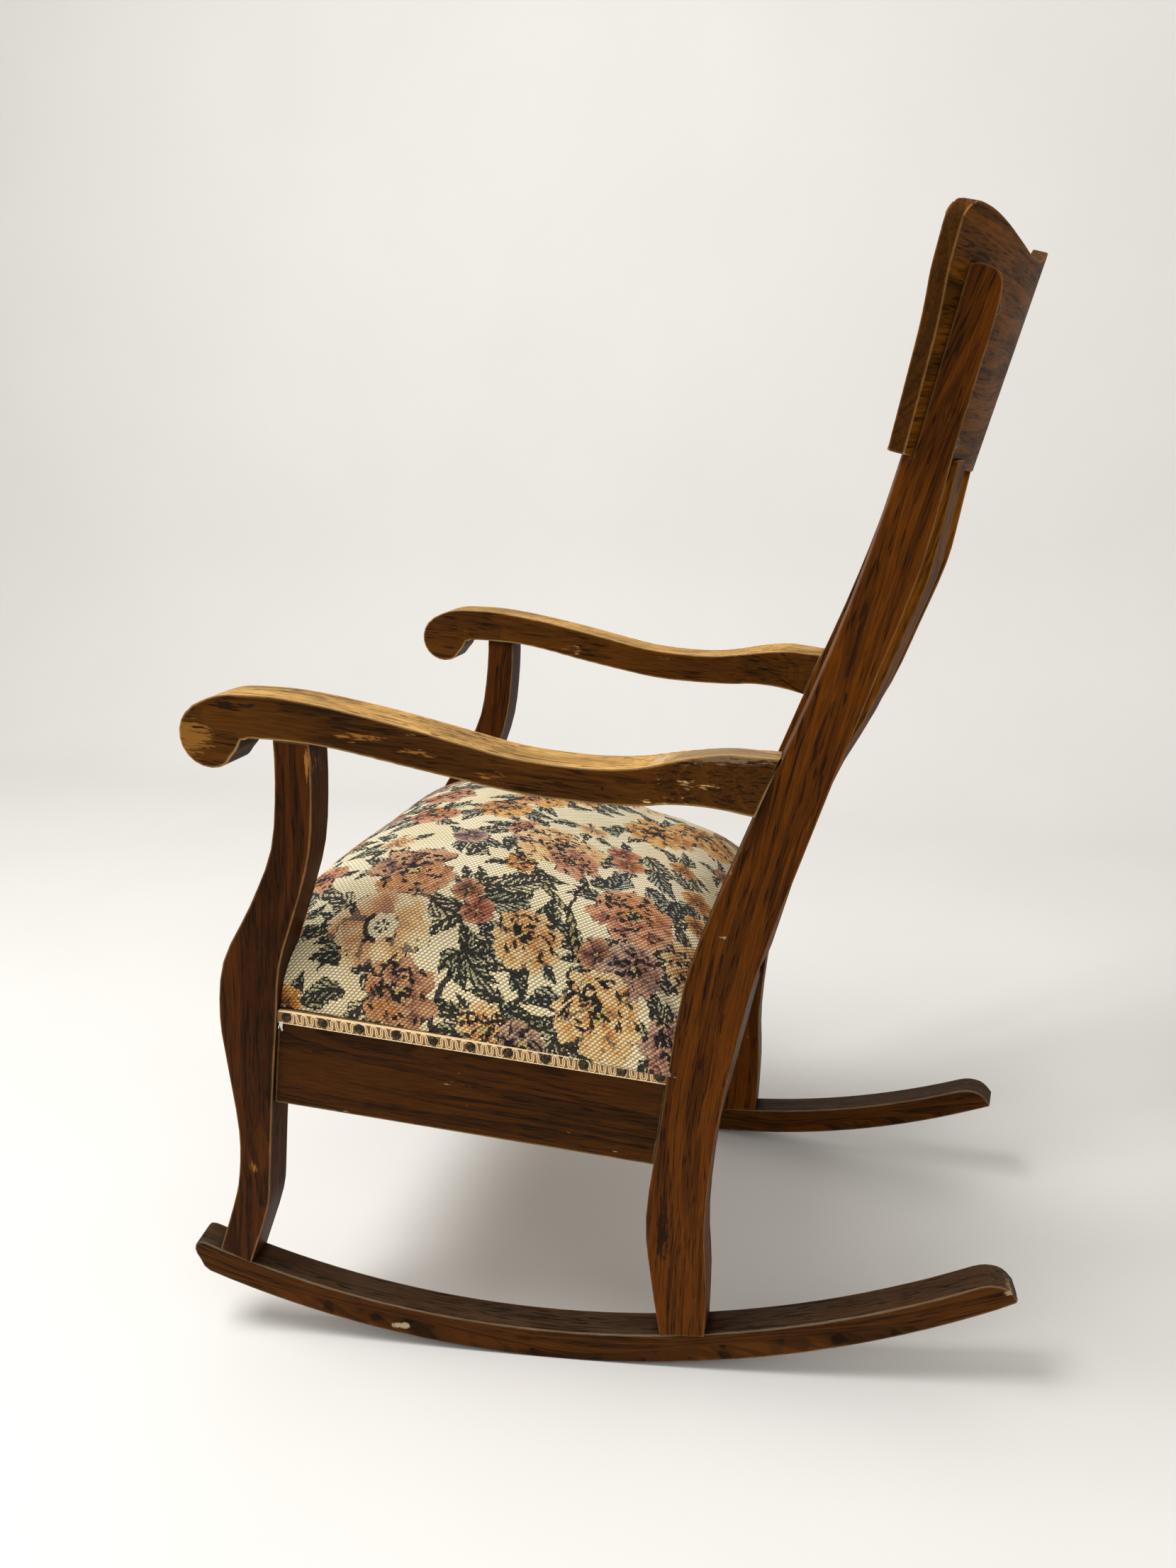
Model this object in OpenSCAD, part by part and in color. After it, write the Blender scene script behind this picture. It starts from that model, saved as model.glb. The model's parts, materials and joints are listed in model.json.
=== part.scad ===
// Rocking armchair: a bent oak frame on two curved rockers, with a sprung and stuffed seat.
// Millimetres. +Z is up, the chair faces -Y and X runs across it, with the sitter's left at +X.
// The origin is on the floor, at the middle of the footprint.

/* [Rockers] */
// Radius of the underside of a rocker
rocker_r = 915; // [840:5:1000]
// Height of a rocker's side
rocker_h = 29.5; // [26:0.5:36]
// Width of a rocker
rocker_w = 33; // [28:1:38]
// Length along a rocker from its contact with the floor to its front end
rocker_front_reach = 353; // [345:1:370]
// Length along a rocker from its contact with the floor to its rear end
rocker_rear_reach = 413; // [390:1:440]
// Half the distance between the rockers where they touch the floor
rocker_half_gauge = 228; // [222:1:236]
// Angle by which each rocker turns inwards towards the back, in degrees
rocker_toe = 6.6; // [5.5:0.1:7.5]

/* [Front posts] */
// Height of the top of a front post, at the underside of the arm
front_post_h = 600; // [590:1:612]
// How far forward a front post's curve swings
front_post_sweep = 75; // [66:1:84]
// Width of a front post at its knee, front to back
front_post_w = 56; // [50:1:62]
// Thickness of a front post, side to side
front_post_t = 35; // [32:1:38]
// Place of a front post's front edge at the arm, ahead of the rocker's contact
front_post_setback = 223.5; // [218:0.5:230]
// Outward lean of a front post, in degrees
front_lean = 2.9; // [2.2:0.1:3.6]

/* [Back posts] */
// Height of the top of a back post
back_post_h = 950; // [940:1:962]
// How far back a back post's curve swings
back_post_sweep = 220; // [214:1:226]
// Width of a back post at the seat, front to back
back_post_w = 55; // [52:1:60]
// Thickness of a back post, side to side
back_post_t = 36; // [33:1:39]
// Place of a back post's front edge at its most forward point, behind the rocker's contact
back_post_setback = 81.5; // [78:0.5:86]
// Outward lean of a back post, in degrees
back_lean = 5.45; // [5:0.05:6]

/* [Arms] */
// Length of an arm's sloping part, from its scroll to the back post
arm_l = 500; // [495:1:505]
// Radius of the scroll at an arm's front end
arm_scroll_r = 28; // [25:0.5:30]
// Depth of the dip in an arm's top, from its front to its lowest point
arm_dip = 44; // [38:1:48]
// Thickness of an arm over the front post, top to bottom
arm_h = 36; // [32:1:40]
// Width of an arm over the front post
arm_w = 41; // [38:1:46]
// How far an arm stands out past the front post's side
arm_overhang = 1.5; // [0:0.5:4]
// Distance behind the rocker's contact of the bend where an arm turns in to the back post
arm_bend_y = 82; // [70:1:95]
// Inward slope of an arm's upper face ahead of the back post, in degrees
arm_cant = 5.7; // [4:0.1:7]

/* [Back] */
// Radius of the bend in the crest and the lower back rail, on their rear faces
back_bend_r = 875; // [820:5:940]
// Backward tilt of the crest and the lower back rail, in degrees
back_tilt = 15; // [14:0.1:16]
// Half the width of the crest
crest_half_w = 350; // [342:1:360]
// Height of the crest at its middle
crest_h = 187; // [180:1:196]
// Thickness of the crest
crest_t = 13; // [12:0.5:15]
// Height above the floor of the crest's lower edge, at its middle
crest_z = 811; // [808:0.5:815]
// Distance of that edge behind the rocker's contact
crest_y = 325; // [323:0.5:328]
// Height of the lower back rail
lower_rail_h = 88; // [80:1:95]
// Thickness of the lower back rail
lower_rail_t = 18; // [16:0.5:20]
// Height above the floor of the lower back rail's lower edge, at its middle
lower_rail_z = 350; // [346:1:356]
// Distance of that edge behind the rocker's contact
lower_rail_y = 166.5; // [164:0.5:169]
// Number of slats
slat_count = 3; // [3:1:4]
// Width of a slat
slat_w = 50; // [44:1:56]
// Thickness of a slat
slat_t = 10.5; // [9.5:0.5:12]
// Distance between the middles of neighbouring slats
slat_pitch = 140; // [130:1:148]

/* [Seat frame] */
// Height of the seat rails' top above the rocker's contact
seat_z = 326.8; // [324:0.5:330]
// Backward slope of the seat, in degrees
seat_slope = 6; // [5.5:0.1:6.5]
// Height of a seat rail
rail_h = 97.5; // [94:0.5:101]
// Thickness of a seat rail
rail_t = 22; // [20:1:25]
// Depth by which a side rail's face lies inside the faces of the posts
rail_reveal = 4; // [2:0.5:6]
// Distance of the front rail's face ahead of the rocker's contact
front_rail_y = 290; // [286:1:293]
// Distance of the rear rail's face behind the rocker's contact
rear_rail_y = 134; // [130:1:138]
// Length of a corner block along each rail
block_leg = 78; // [72:1:86]
// Height of a corner block
block_h = 45; // [38:1:52]

/* [Seat] */
// Height of the cushion's crown above the seat rails
crown_h = 128.5; // [120:0.5:136]
// Height of the cushion's side above the seat rails, over which it bulges
side_h = 60; // [50:1:66]
// How far the cushion bulges past the seat rails
cushion_bulge = 4; // [3:0.5:6]
// Thickness of the seat cover
cover_t = 3; // [2.5:0.5:4]
// Width of a strip of webbing
web_w = 50; // [44:1:54]
// Thickness of a strip of webbing
web_t = 1.6; // [1.4:0.1:2]
// Strips of webbing that run from front to back
web_long_count = 5; // [4:1:5]
// Strips of webbing that run from side to side
web_cross_count = 4; // [3:1:4]
// Largest radius of a seat spring's coils
spring_r = 38; // [34:1:42]
// Radius of a seat spring's waist
spring_waist_r = 25; // [22:1:28]
// Diameter of the spring wire
wire_d = 3.6; // [3:0.2:4]
// Number of turns in a spring
spring_turns = 5; // [4:1:6]
// Height of the gimp braid along the seat cover's lower edge
gimp_h = 12.4; // [11:0.2:14]
// Thickness of the gimp braid
gimp_t = 2; // [1.5:0.5:3]
// Radius of a decorative nail's head
nail_r = 4.4; // [3.8:0.2:5]
// Number of decorative nails along each side of the seat
side_nail_count = 11; // [8:1:13]
// Number of decorative nails along the front of the seat
front_nail_count = 15; // [11:1:17]
// Number of decorative nails along the back of the seat
rear_nail_count = 13; // [9:1:15]

/* [Hidden] */
// Overrun of a cut past the faces that it opens
over = 20;
// Clearance round a tenon, a dowel or a screw
fit = 0.15;
// Steps drawn between two stations of a curve
span_steps = 3;
// Facets of a full turn
fine_fn = 48;
bend_fn = 360;
// Where a post meets its rocker, ahead of or behind the contact with the floor
front_foot_y = 306;
back_foot_y = 113;
// Dowels
dowel_r = 5;
dowel_l = 44;
post_dowel_r = 6;
rocker_dowel_l = 40;
rocker_dowel_depth = 16;
// The scroll's middle above the top of the front post, and its arc in degrees
scroll_lift = 0.5;
scroll_from = 286;
scroll_to = 122;
scroll_steps = 10;
// Rise of an arm's underside over the front post's top, as a share of the arm's thickness
arm_under_rise = 0.075;
arm_dowel_l = 50;
arm_dowel_depth = 22;
// Tenons of the lower back rail and of the slats
rail_tenon_t = 10;
rail_tenon_l = 18;
tenon_shoulder = 9;
slat_tenon_t = 6;
slat_tenon_l = 12;
slat_shoulder = 5;
// Screws through the back posts
crest_screw_head_r = 5;
crest_screw_head_h = 3;
crest_screw_r = 2.2;
crest_screw_l = 31;
crest_screw_low = 24;
crest_screw_high = 110;
spotface = 0.3;
arm_screw_r = 2.8;
arm_screw_l = 86;
arm_screw_head_r = 6;
arm_screw_head_h = 3;
arm_screw_sunk = 5;
// Screws through the corner blocks
block_screw_r = 2.2;
block_screw_l = 62;
block_screw_head_r = 4.6;
block_screw_head_h = 2.5;
block_drop = 22;
// Webbing tacks and the decorative nails' shanks
tack_head_r = 4;
tack_head_h = 1;
tack_shank_r = 0.9;
tack_l = 10;
nail_dome = 2.3;
nail_shank_r = 0.9;
nail_l = 13;
burlap_t = 1.5;
burlap_lap = 15;
gimp_drop = 0.8;
cover_gap = 0.3;
post_relief = 0.4;
stuffing_gap = 0.2;

// Stations up a front post: height, forward swing and width, as shares of its height, sweep and width
front_post_shares = [[0.112, -0.446, 0.604], [0.15, -0.34, 0.62], [0.24, -0.08, 0.62], [0.297, 0.04, 0.56],
    [0.375, 0.095, 0.58], [0.485, 0.035, 0.81], [0.567, 0, 0.985], [0.658, 0.12, 0.96],
    [0.748, 0.52, 0.77], [0.84, 0.86, 0.63], [0.942, 0.982, 0.586], [1.02, 1, 0.57]];
// Stations up a back post: height, backward swing and width, as shares of its height, sweep and width
back_post_shares = [[0.03, 0.06, 0.736], [0.105, 0.018, 0.936], [0.174, 0, 0.966], [0.274, 0.057, 0.9],
    [0.4, 0.132, 1], [0.463, 0.202, 1], [0.574, 0.381, 0.886], [0.695, 0.589, 0.745],
    [0.789, 0.73, 0.718], [0.871, 0.829, 0.613], [0.926, 0.884, 0.61], [0.974, 0.939, 0.58],
    [0.993, 0.961, 0.473], [1, 0.97, 0.2]];
// An arm's top from the scroll to the back post: place along the arm, height above the dip
arm_top_shares = [[0.028, 0.757], [0.055, 0.9], [0.085, 0.99], [0.125, 1.007], [0.195, 0.973], [0.291, 0.81],
    [0.388, 0.59], [0.483, 0.343], [0.575, 0.111], [0.667, 0.01], [0.735, 0.006], [0.79, 0.08],
    [0.843, 0.225], [0.905, 0.34], [0.947, 0.323], [0.989, 0.275], [1.06, 0.17]];
// An arm's underside from the back post to the notch behind the scroll: place, depth below the scroll's top
arm_under_shares = [[1.06, 1.5], [0.95, 1.242], [0.907, 1.119], [0.865, 1.047], [0.821, 1.033],
    [0.779, 1.086], [0.689, 1.075], [0.597, 0.992], [0.505, 0.783], [0.409, 0.547], [0.313, 0.303],
    [0.233, 0.144], [0.141, 0.089], [0.117, 0.13]];
// How far an arm's upper face and underside slope inwards: place along the arm, share of the slope
top_cant_shares = [[0, 0], [0.7, 0], [0.78, 0.1], [0.83, 0.55], [0.88, 0.95], [0.93, 1], [1.0, 0.65],
    [1.06, 0.6]];
under_cant_shares = [[0, 0], [0.3, 0], [0.45, 0.8], [0.6, 1], [1.06, 1]];
// The notch from its step round to the bottom of the scroll, in scroll radii from the scroll's middle
notch_shares = [[1.0, -0.09], [0.93, -0.25], [0.84, -0.41], [0.66, -0.62], [0.48, -0.85], [0.27, -0.965]];
// Half of the crest's outline from its lower edge to its middle, as shares of its half width and height
crest_shares = [[0.923, 0], [0.929, 0.053], [0.94, 0.187], [0.949, 0.294], [0.961, 0.428], [0.974, 0.519],
    [0.989, 0.604], [0.996, 0.695], [1, 0.765], [0.996, 0.802], [0.98, 0.834], [0.954, 0.856],
    [0.903, 0.866], [0.851, 0.868], [0.791, 0.865], [0.743, 0.861], [0.683, 0.856], [0.6, 0.852],
    [0.511, 0.852], [0.396, 0.868], [0.323, 0.888], [0.243, 0.922], [0.163, 0.965], [0.08, 0.992], [0, 1]];
// A slat's rear face: height and backward swing, as shares of the rise and the run between its rails
slat_shares = [[-0.035, -0.03], [0.09, 0.09], [0.3, 0.321], [0.491, 0.588], [0.641, 0.747], [0.785, 0.889],
    [0.891, 0.948], [1.0, 0.998], [1.035, 1.02]];

// The crown's height along the seat: place from the front edge, -1, to the rear edge, 1, and share
crown_shares = [[-1, 0], [-0.985, 0.323], [-0.94, 0.583], [-0.86, 0.71], [-0.74, 0.812], [-0.58, 0.911],
    [-0.38, 0.984], [-0.15, 1], [0.1, 0.931], [0.35, 0.831], [0.58, 0.768], [0.76, 0.692], [0.88, 0.553],
    [0.95, 0.382], [0.988, 0.194], [1, 0]];

// Place across the chair of a rocker's middle line, at a distance behind its contact with the floor
function rocker_x(y) = rocker_half_gauge - y * tan(rocker_toe);
// Height of a rocker's top at that distance
function rocker_top(y) = rocker_r + rocker_h - sqrt(pow(rocker_r, 2) - pow(y / cos(rocker_toe), 2));
// Distance of the rocker's contact with the floor ahead of the origin
contact_y = (rocker_rear_reach - rocker_front_reach) / 2 * cos(rocker_toe);

// Middle of a front post and of a back post across the chair, at a height
front_foot_z = rocker_top(front_foot_y);
back_foot_z = rocker_top(back_foot_y);
function front_x(z) = rocker_x(-front_foot_y) + (z - front_foot_z) * tan(front_lean);
function back_x(z) = rocker_x(back_foot_y) + (z - back_foot_z) * tan(back_lean);

// A point on a smooth curve between stations b and c, and the whole curve through a list of stations
function between(a, b, c, d, t) = ((3 * (b - c) + d - a) * t * t * t + (2 * a - 5 * b + 4 * c - d) * t * t
    + (c - a) * t + 2 * b) / 2;
function smooth(p) = [for (i = [0:len(p) - 2], k = [0:span_steps - 1])
    between(p[max(i - 1, 0)], p[i], p[i + 1], p[min(i + 2, len(p) - 1)], k / span_steps), p[len(p) - 1]];
function reversed(p) = [for (i = [len(p) - 1:-1:0]) p[i]];
function arc(centre, r, from, to, steps) = [for (i = [0:steps])
    centre + r * [cos(from + (to - from) * i / steps), sin(from + (to - from) * i / steps)]];

// Front and rear lines of the posts, as distance behind the contact against height
front_post_low_y = -front_post_setback - front_post_sweep;
function front_post_front() = [for (s = front_post_shares)
    [front_post_low_y + front_post_sweep * s[1], front_post_h * s[0]]];
function front_post_rear() = [for (s = front_post_shares)
    [front_post_low_y + front_post_sweep * s[1] + front_post_w * s[2], front_post_h * s[0]]];
function back_post_front() = [for (s = back_post_shares)
    [back_post_setback + back_post_sweep * s[1], back_post_h * s[0]]];
function back_post_rear() = [for (s = back_post_shares)
    [back_post_setback + back_post_sweep * s[1] + back_post_w * s[2], back_post_h * s[0]]];
// Distance behind the contact of a line at a height
function line_y(line, z) = lookup(z, [for (p = smooth(line)) [p[1], p[0]]]);

module left(side) {
    if (side > 0) children();
    else mirror([1, 0, 0]) children();
}

// Everything is drawn from the rockers' contact with the floor, then moved to the origin
module placed() {
    translate([0, -contact_y, 0]) children();
}

// A flat board that stands front to back, given by its outline, and leans outwards from the floor
module board(outline, t, lean, foot_x) {
    translate([foot_x, 0, 0]) rotate([0, lean, 0]) rotate([90, 0, 90])
        translate([0, 0, -t / 2]) linear_extrude(t)
            polygon([for (p = outline) [p[0], p[1] / cos(lean)]]);
}

// Rockers: two equal arcs one above the other, with a rounded tail and a blunt toe
toe_angle = asin(rocker_front_reach / rocker_r);
tail_angle = asin(rocker_rear_reach / rocker_r);
tail_taper = 2.6;
toe_taper = 0.9;
under_steps = 36;
// Stations round the tail and the toe: share of the taper from the tip, share of the height
tail_shares = [[0, 0.02], [0.08, 0.12], [0.2, 0.39], [0.31, 0.57], [0.43, 0.715], [0.57, 0.83], [0.71, 0.92],
    [0.85, 0.975]];
nose_shares = [[0.7, 0.99], [0.32, 0.93], [0.08, 0.78], [0, 0.6], [0.1, 0.45], [0.33, 0.31], [0.6, 0.08]];
function rocker_point(a, share) = [rocker_r * sin(a), rocker_r - rocker_r * cos(a) + rocker_h * share];
function rocker_outline() = let (from = toe_taper - toe_angle, to = tail_angle - tail_taper) concat(
    [for (i = [0:under_steps]) rocker_point(from + (tail_angle - from) * i / under_steps, 0)],
    [for (s = tail_shares) rocker_point(tail_angle - tail_taper * s[0], s[1])],
    [for (i = [0:under_steps]) rocker_point(to + (from - to) * i / under_steps, 1)],
    [for (s = nose_shares) rocker_point(-toe_angle + toe_taper * s[0], s[1])]);

module rocker_band(w) {
    translate([rocker_half_gauge, 0, 0]) rotate([0, 0, rocker_toe]) rotate([90, 0, 90])
        translate([0, 0, -w / 2]) linear_extrude(w) polygon(rocker_outline());
}

// Everything below a rocker's upper face, which a post's foot is cut to
module rocker_bed() {
    from = toe_taper - toe_angle;
    to = tail_angle - tail_taper;
    translate([rocker_half_gauge, 0, 0]) rotate([0, 0, rocker_toe]) rotate([90, 0, 90])
        translate([0, 0, -rocker_w]) linear_extrude(2 * rocker_w) polygon(concat(
            [for (i = [0:under_steps]) rocker_point(to + (from - to) * i / under_steps, 1)],
            [[rocker_r * sin(from), -over], [rocker_r * sin(to), -over]]));
}

module rocker(side) {
    left(side) difference() {
        rocker_band(rocker_w);
        rocker_dowel_set(fit);
    }
}

// Dowels up through each rocker's top into the posts' feet
module rocker_dowel_set(gap) {
    for (p = [[front_x(front_foot_z), -front_foot_y, front_foot_z],
        [back_x(back_foot_z), back_foot_y, back_foot_z]])
        translate([p[0], p[1], p[2] - rocker_dowel_depth - gap])
            cylinder(r = post_dowel_r + gap, h = rocker_dowel_l + 2 * gap, $fn = fine_fn);
}

module rocker_dowels() {
    color("burlywood") for (side = [1, -1]) left(side) rocker_dowel_set(0);
}

// Front posts
module front_post_blank(t = front_post_t) {
    board(concat(smooth(front_post_front()), reversed(smooth(front_post_rear()))), t, front_lean,
        front_x(0));
}

module front_post(side) {
    left(side) difference() {
        front_post_blank();
        rocker_bed();
        arm_blank();
        rocker_dowel_set(fit);
        arm_dowel(fit);
        seat_rail_dowel_set(fit);
        block_screw_set(fit);
    }
}

// Back posts, rebated at the top for the crest
module back_post_blank(t = back_post_t) {
    board(concat(smooth(back_post_front()), reversed(smooth(back_post_rear()))), t, back_lean, back_x(0));
}

module back_post(side) {
    left(side) difference() {
        back_post_blank();
        rocker_bed();
        bent_band(crest_y, crest_z, back_post_w, crest_h + over, 0);
        lower_rail_tenons(fit);
        rocker_dowel_set(fit);
        seat_rail_dowel_set(fit);
        crest_screw_set(fit);
        arm_screw(fit);
        block_screw_set(fit);
    }
}

// Arms: the side outline with its scroll, cut to the plan outline that turns in to the back post
arm_tip_y = -front_post_setback - 3 * arm_scroll_r;
arm_low_z = front_post_h + arm_h - arm_dip;
scroll_y = arm_tip_y + arm_scroll_r;
scroll_z = front_post_h + scroll_lift;
arm_outer_x = front_x(front_post_h) + front_post_t / 2 + arm_overhang;
arm_rear_y = arm_tip_y + arm_l;
arm_rear_z = arm_low_z;
arm_rear_x = back_x(arm_rear_z) + back_post_t / 2;
arm_turn = (arm_outer_x - arm_rear_x) / (arm_rear_y - arm_bend_y);
arm_mid_w = 1.14 * arm_w;
arm_under_z = front_post_h + arm_h * arm_under_rise;
arm_screw_z = arm_low_z - 0.36 * arm_h;

// An arm's side outline in an upright plane, at a distance in from its outer face
function canted(s, table, inward) = inward * tan(arm_cant) * lookup(s[0], table);
function arm_outline(inward) = concat(
    arc([scroll_y, scroll_z], arm_scroll_r, scroll_from, scroll_to, scroll_steps),
    smooth([for (s = arm_top_shares) [arm_tip_y + arm_l * s[0],
        arm_low_z + arm_dip * s[1] - canted(s, top_cant_shares, inward)]]),
    smooth([for (s = arm_under_shares) [arm_tip_y + arm_l * s[0],
        arm_under_z - arm_h * s[1] - canted(s, under_cant_shares, inward)]]),
    smooth([for (s = notch_shares) [scroll_y + arm_scroll_r * s[0], scroll_z + arm_scroll_r * s[1]]]));

// The outline drawn through from outside the outer face to a plane well inside the inner face
module arm_loft() {
    outer = arm_outline(-over);
    inner = arm_outline(2 * arm_w);
    n = len(outer);
    polyhedron(points = concat([for (p = outer) [arm_outer_x + over, p[0], p[1]]],
        [for (p = inner) [arm_outer_x - 2 * arm_w, p[0], p[1]]]), faces = concat(
            [[for (i = [0:n - 1]) i], [for (i = [n - 1:-1:0]) n + i]],
            [for (i = [0:n - 1], half = [0, 1]) let (j = (i + 1) % n)
                half == 0 ? [j, i, n + i] : [j, n + i, n + j]]), convexity = 8);
}

module arm_blank() {
    intersection() {
        arm_loft();
        translate([0, 0, arm_low_z - 2 * arm_h]) linear_extrude(arm_dip + 4 * arm_h) polygon([
            [arm_outer_x, arm_tip_y - over], [arm_outer_x, arm_bend_y],
            [arm_outer_x - arm_turn * (arm_l / 3), arm_bend_y + arm_l / 3],
            [arm_rear_x - back_post_t - arm_turn * (arm_bend_y + arm_l / 3 - arm_rear_y) / 2,
                arm_bend_y + arm_l / 3],
            [arm_outer_x - arm_mid_w, arm_bend_y], [arm_outer_x - arm_w, -front_post_setback],
            [arm_outer_x - arm_w, arm_tip_y - over]]);
    }
}

module arm(side) {
    left(side) difference() {
        arm_blank();
        back_post_blank(back_post_t + 2 * over);
        back_of_post_cut();
        arm_dowel(fit);
        arm_screw(fit);
    }
}

// What lies behind a back post's front face at the arm, so that an arm ends there
module back_of_post_cut() {
    translate([0, line_y(back_post_front(), arm_low_z) + back_post_w / 2, arm_low_z - 2 * arm_h])
        cube([2 * arm_outer_x, arm_l, arm_dip + 4 * arm_h]);
}

module arm_dowel(gap) {
    translate([front_x(front_post_h), line_y(front_post_front(), front_post_h)
        + front_post_w * 0.29, front_post_h + arm_dowel_depth - arm_dowel_l - gap])
        cylinder(r = post_dowel_r + gap, h = arm_dowel_l + 2 * gap, $fn = fine_fn);
}

module arm_dowels() {
    color("burlywood") for (side = [1, -1]) left(side) arm_dowel(0);
}

// A screw from a back post's rear face into the arm's end
module arm_screw(gap) {
    head_y = line_y(back_post_rear(), arm_screw_z) - arm_screw_sunk;
    translate([back_x(arm_screw_z), head_y, arm_screw_z]) rotate([90, 0, 0]) {
        cylinder(r = arm_screw_r + gap, h = arm_screw_l + gap, $fn = fine_fn);
        if (gap > 0) translate([0, 0, -over]) cylinder(r = arm_screw_head_r + gap, h = over, $fn = fine_fn);
        else rotate([180, 0, 0]) domed_head(arm_screw_head_r, arm_screw_head_h);
    }
}

module arm_screws() {
    color("dimgray") for (side = [1, -1]) left(side) arm_screw(0);
}

// Crest and lower back rail: boards bent to one radius and tilted back together
module tilted(y, z) {
    translate([0, y, z]) rotate([-back_tilt, 0, 0]) children();
}

module bent_band(y, z, t, h, low) {
    tilted(y, z) translate([0, -back_bend_r, low]) difference() {
        cylinder(r = back_bend_r, h = h - low, $fn = bend_fn);
        translate([0, 0, -over]) cylinder(r = back_bend_r - t, h = h - low + 2 * over, $fn = bend_fn);
        translate([-back_bend_r - over, -back_bend_r - over, -over])
            cube([2 * (back_bend_r + over), back_bend_r + over + back_bend_r * 0.8, h - low + 2 * over]);
    }
}

function crest_outline() =
    let (half = smooth([for (s = crest_shares) [crest_half_w * s[0], crest_h * s[1]]]))
    concat(half, [for (p = reversed(half)) if (p[0] > 0) [-p[0], p[1]]]);

// The crest is cut square to its bend, so its outline narrows towards the centre of the bend
crest_depth = back_bend_r / 4;
crest_narrowing = (back_bend_r - crest_depth) / (back_bend_r + over);
module crest_blank() {
    intersection() {
        bent_band(crest_y, crest_z, crest_t, crest_h + over, -over);
        tilted(crest_y, crest_z) translate([0, over, 0]) rotate([90, 0, 0])
            linear_extrude(crest_depth + over, scale = [crest_narrowing, 1], slices = 1)
                polygon([for (p = crest_outline())
                    [(back_bend_r + over) * tan(asin(p[0] / back_bend_r)), p[1]]]);
    }
}

module crest_rail() {
    color("saddlebrown") difference() {
        crest_blank();
        for (i = [0:slat_count - 1]) slat_at(i) slat_tenons(fit);
        for (side = [1, -1]) left(side) crest_screw_set(fit);
    }
}

module lower_back_rail() {
    color("saddlebrown") {
        difference() {
            intersection() {
                bent_band(lower_rail_y, lower_rail_z, lower_rail_t, lower_rail_h, 0);
                translate([-back_x(lower_rail_z), -over, 0])
                    cube([2 * back_x(lower_rail_z), 2 * lower_rail_y + over, 2 * lower_rail_z]);
            }
            for (side = [1, -1]) left(side) back_post_blank();
            for (i = [0:slat_count - 1]) slat_at(i) slat_tenons(fit);
        }
        for (side = [1, -1]) left(side) lower_rail_tenons(0);
    }
}

// The left end of the tenon that runs into the back post
module lower_rail_tenons(gap) {
    inner_x = back_x(lower_rail_z) - back_post_t / 2 - rail_tenon_l / 2;
    intersection() {
        bent_band(lower_rail_y - (lower_rail_t - rail_tenon_t) / 2 + gap, lower_rail_z,
            rail_tenon_t + 2 * gap, lower_rail_h - tenon_shoulder + gap, tenon_shoulder - gap);
        translate([inner_x, 0, 0])
            cube([1.5 * rail_tenon_l + rail_tenon_l / 3 + gap, 2 * lower_rail_y, 2 * lower_rail_z]);
    }
}

// Slats: bent to their own curve, tenoned into the lower back rail and the crest
slat_low_z = lower_rail_z + lower_rail_h * cos(back_tilt);
slat_low_y = lower_rail_y + lower_rail_h * sin(back_tilt) - (lower_rail_t - slat_t) / 2;
slat_rise = crest_z - slat_low_z;
slat_run = crest_y - slat_low_y - (crest_t - slat_t) / 2;

function slat_rear() = [for (s = slat_shares) [slat_low_y + slat_run * s[1], slat_low_z + slat_rise * s[0]]];

// A slat's side outline, thinned by a share of its thickness from each face
function slat_outline(t) = let (line = smooth(slat_rear()), inset = (slat_t - t) / 2) concat(
    [for (p = line) [p[0] - inset, p[1]]], [for (p = reversed(line)) [p[0] - slat_t + inset, p[1]]]);

module slat_at(i) {
    x = (i - (slat_count - 1) / 2) * slat_pitch;
    turn = asin(x / back_bend_r);
    translate([x, -back_bend_r * (1 - cos(turn)) / cos(back_tilt), 0]) rotate([0, 0, -turn])
        children();
}

module slat_tenons(gap) {
    rotate([90, 0, 90]) translate([0, 0, -slat_w / 2 + slat_shoulder - gap])
        linear_extrude(slat_w - 2 * slat_shoulder + 2 * gap) intersection() {
            polygon(slat_outline(slat_tenon_t + 2 * gap));
            union() {
                translate([0, slat_low_z - slat_tenon_l - gap])
                    square([2 * crest_y, slat_tenon_l + tenon_shoulder]);
                translate([0, crest_z - 2 * tenon_shoulder])
                    square([2 * crest_y, slat_tenon_l + 2 * tenon_shoulder + gap]);
            }
        }
}

module slat(i) {
    color("sienna") {
        difference() {
            slat_at(i) rotate([90, 0, 90]) translate([0, 0, -slat_w / 2]) linear_extrude(slat_w)
                polygon(slat_outline(slat_t));
            bent_band(crest_y + over, crest_z, 3 * over, 3 * over, 0);
            bent_band(lower_rail_y + over, lower_rail_z, 3 * over, lower_rail_h, 0);
        }
        slat_at(i) slat_tenons(0);
    }
}

// Screws through each back post into the crest
module crest_screw_set(gap) {
    for (up = [crest_screw_low, crest_screw_high]) {
        z = crest_z + up;
        translate([back_x(z), line_y(back_post_rear(), z) - spotface, z]) rotate([90 - back_tilt, 0, 0]) {
            cylinder(r = crest_screw_r + gap, h = crest_screw_l + gap, $fn = fine_fn);
            if (gap > 0) translate([0, 0, -over])
                cylinder(r = crest_screw_head_r + gap, h = over, $fn = fine_fn);
            else rotate([180, 0, 0]) domed_head(crest_screw_head_r, crest_screw_head_h);
        }
    }
}

// A low dome that stands on its flat side
module domed_head(r, h) {
    intersection() {
        cylinder(r = r, h = h, $fn = fine_fn);
        translate([0, 0, h - head_sphere(r, h)]) sphere(r = head_sphere(r, h), $fn = fine_fn);
    }
}

// Radius of the sphere that gives a domed head of this radius and height
function head_sphere(r, h) = (r * r + h * h) / (2 * h);

module crest_screws() {
    color("dimgray") for (side = [1, -1]) left(side) crest_screw_set(0);
}

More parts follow.
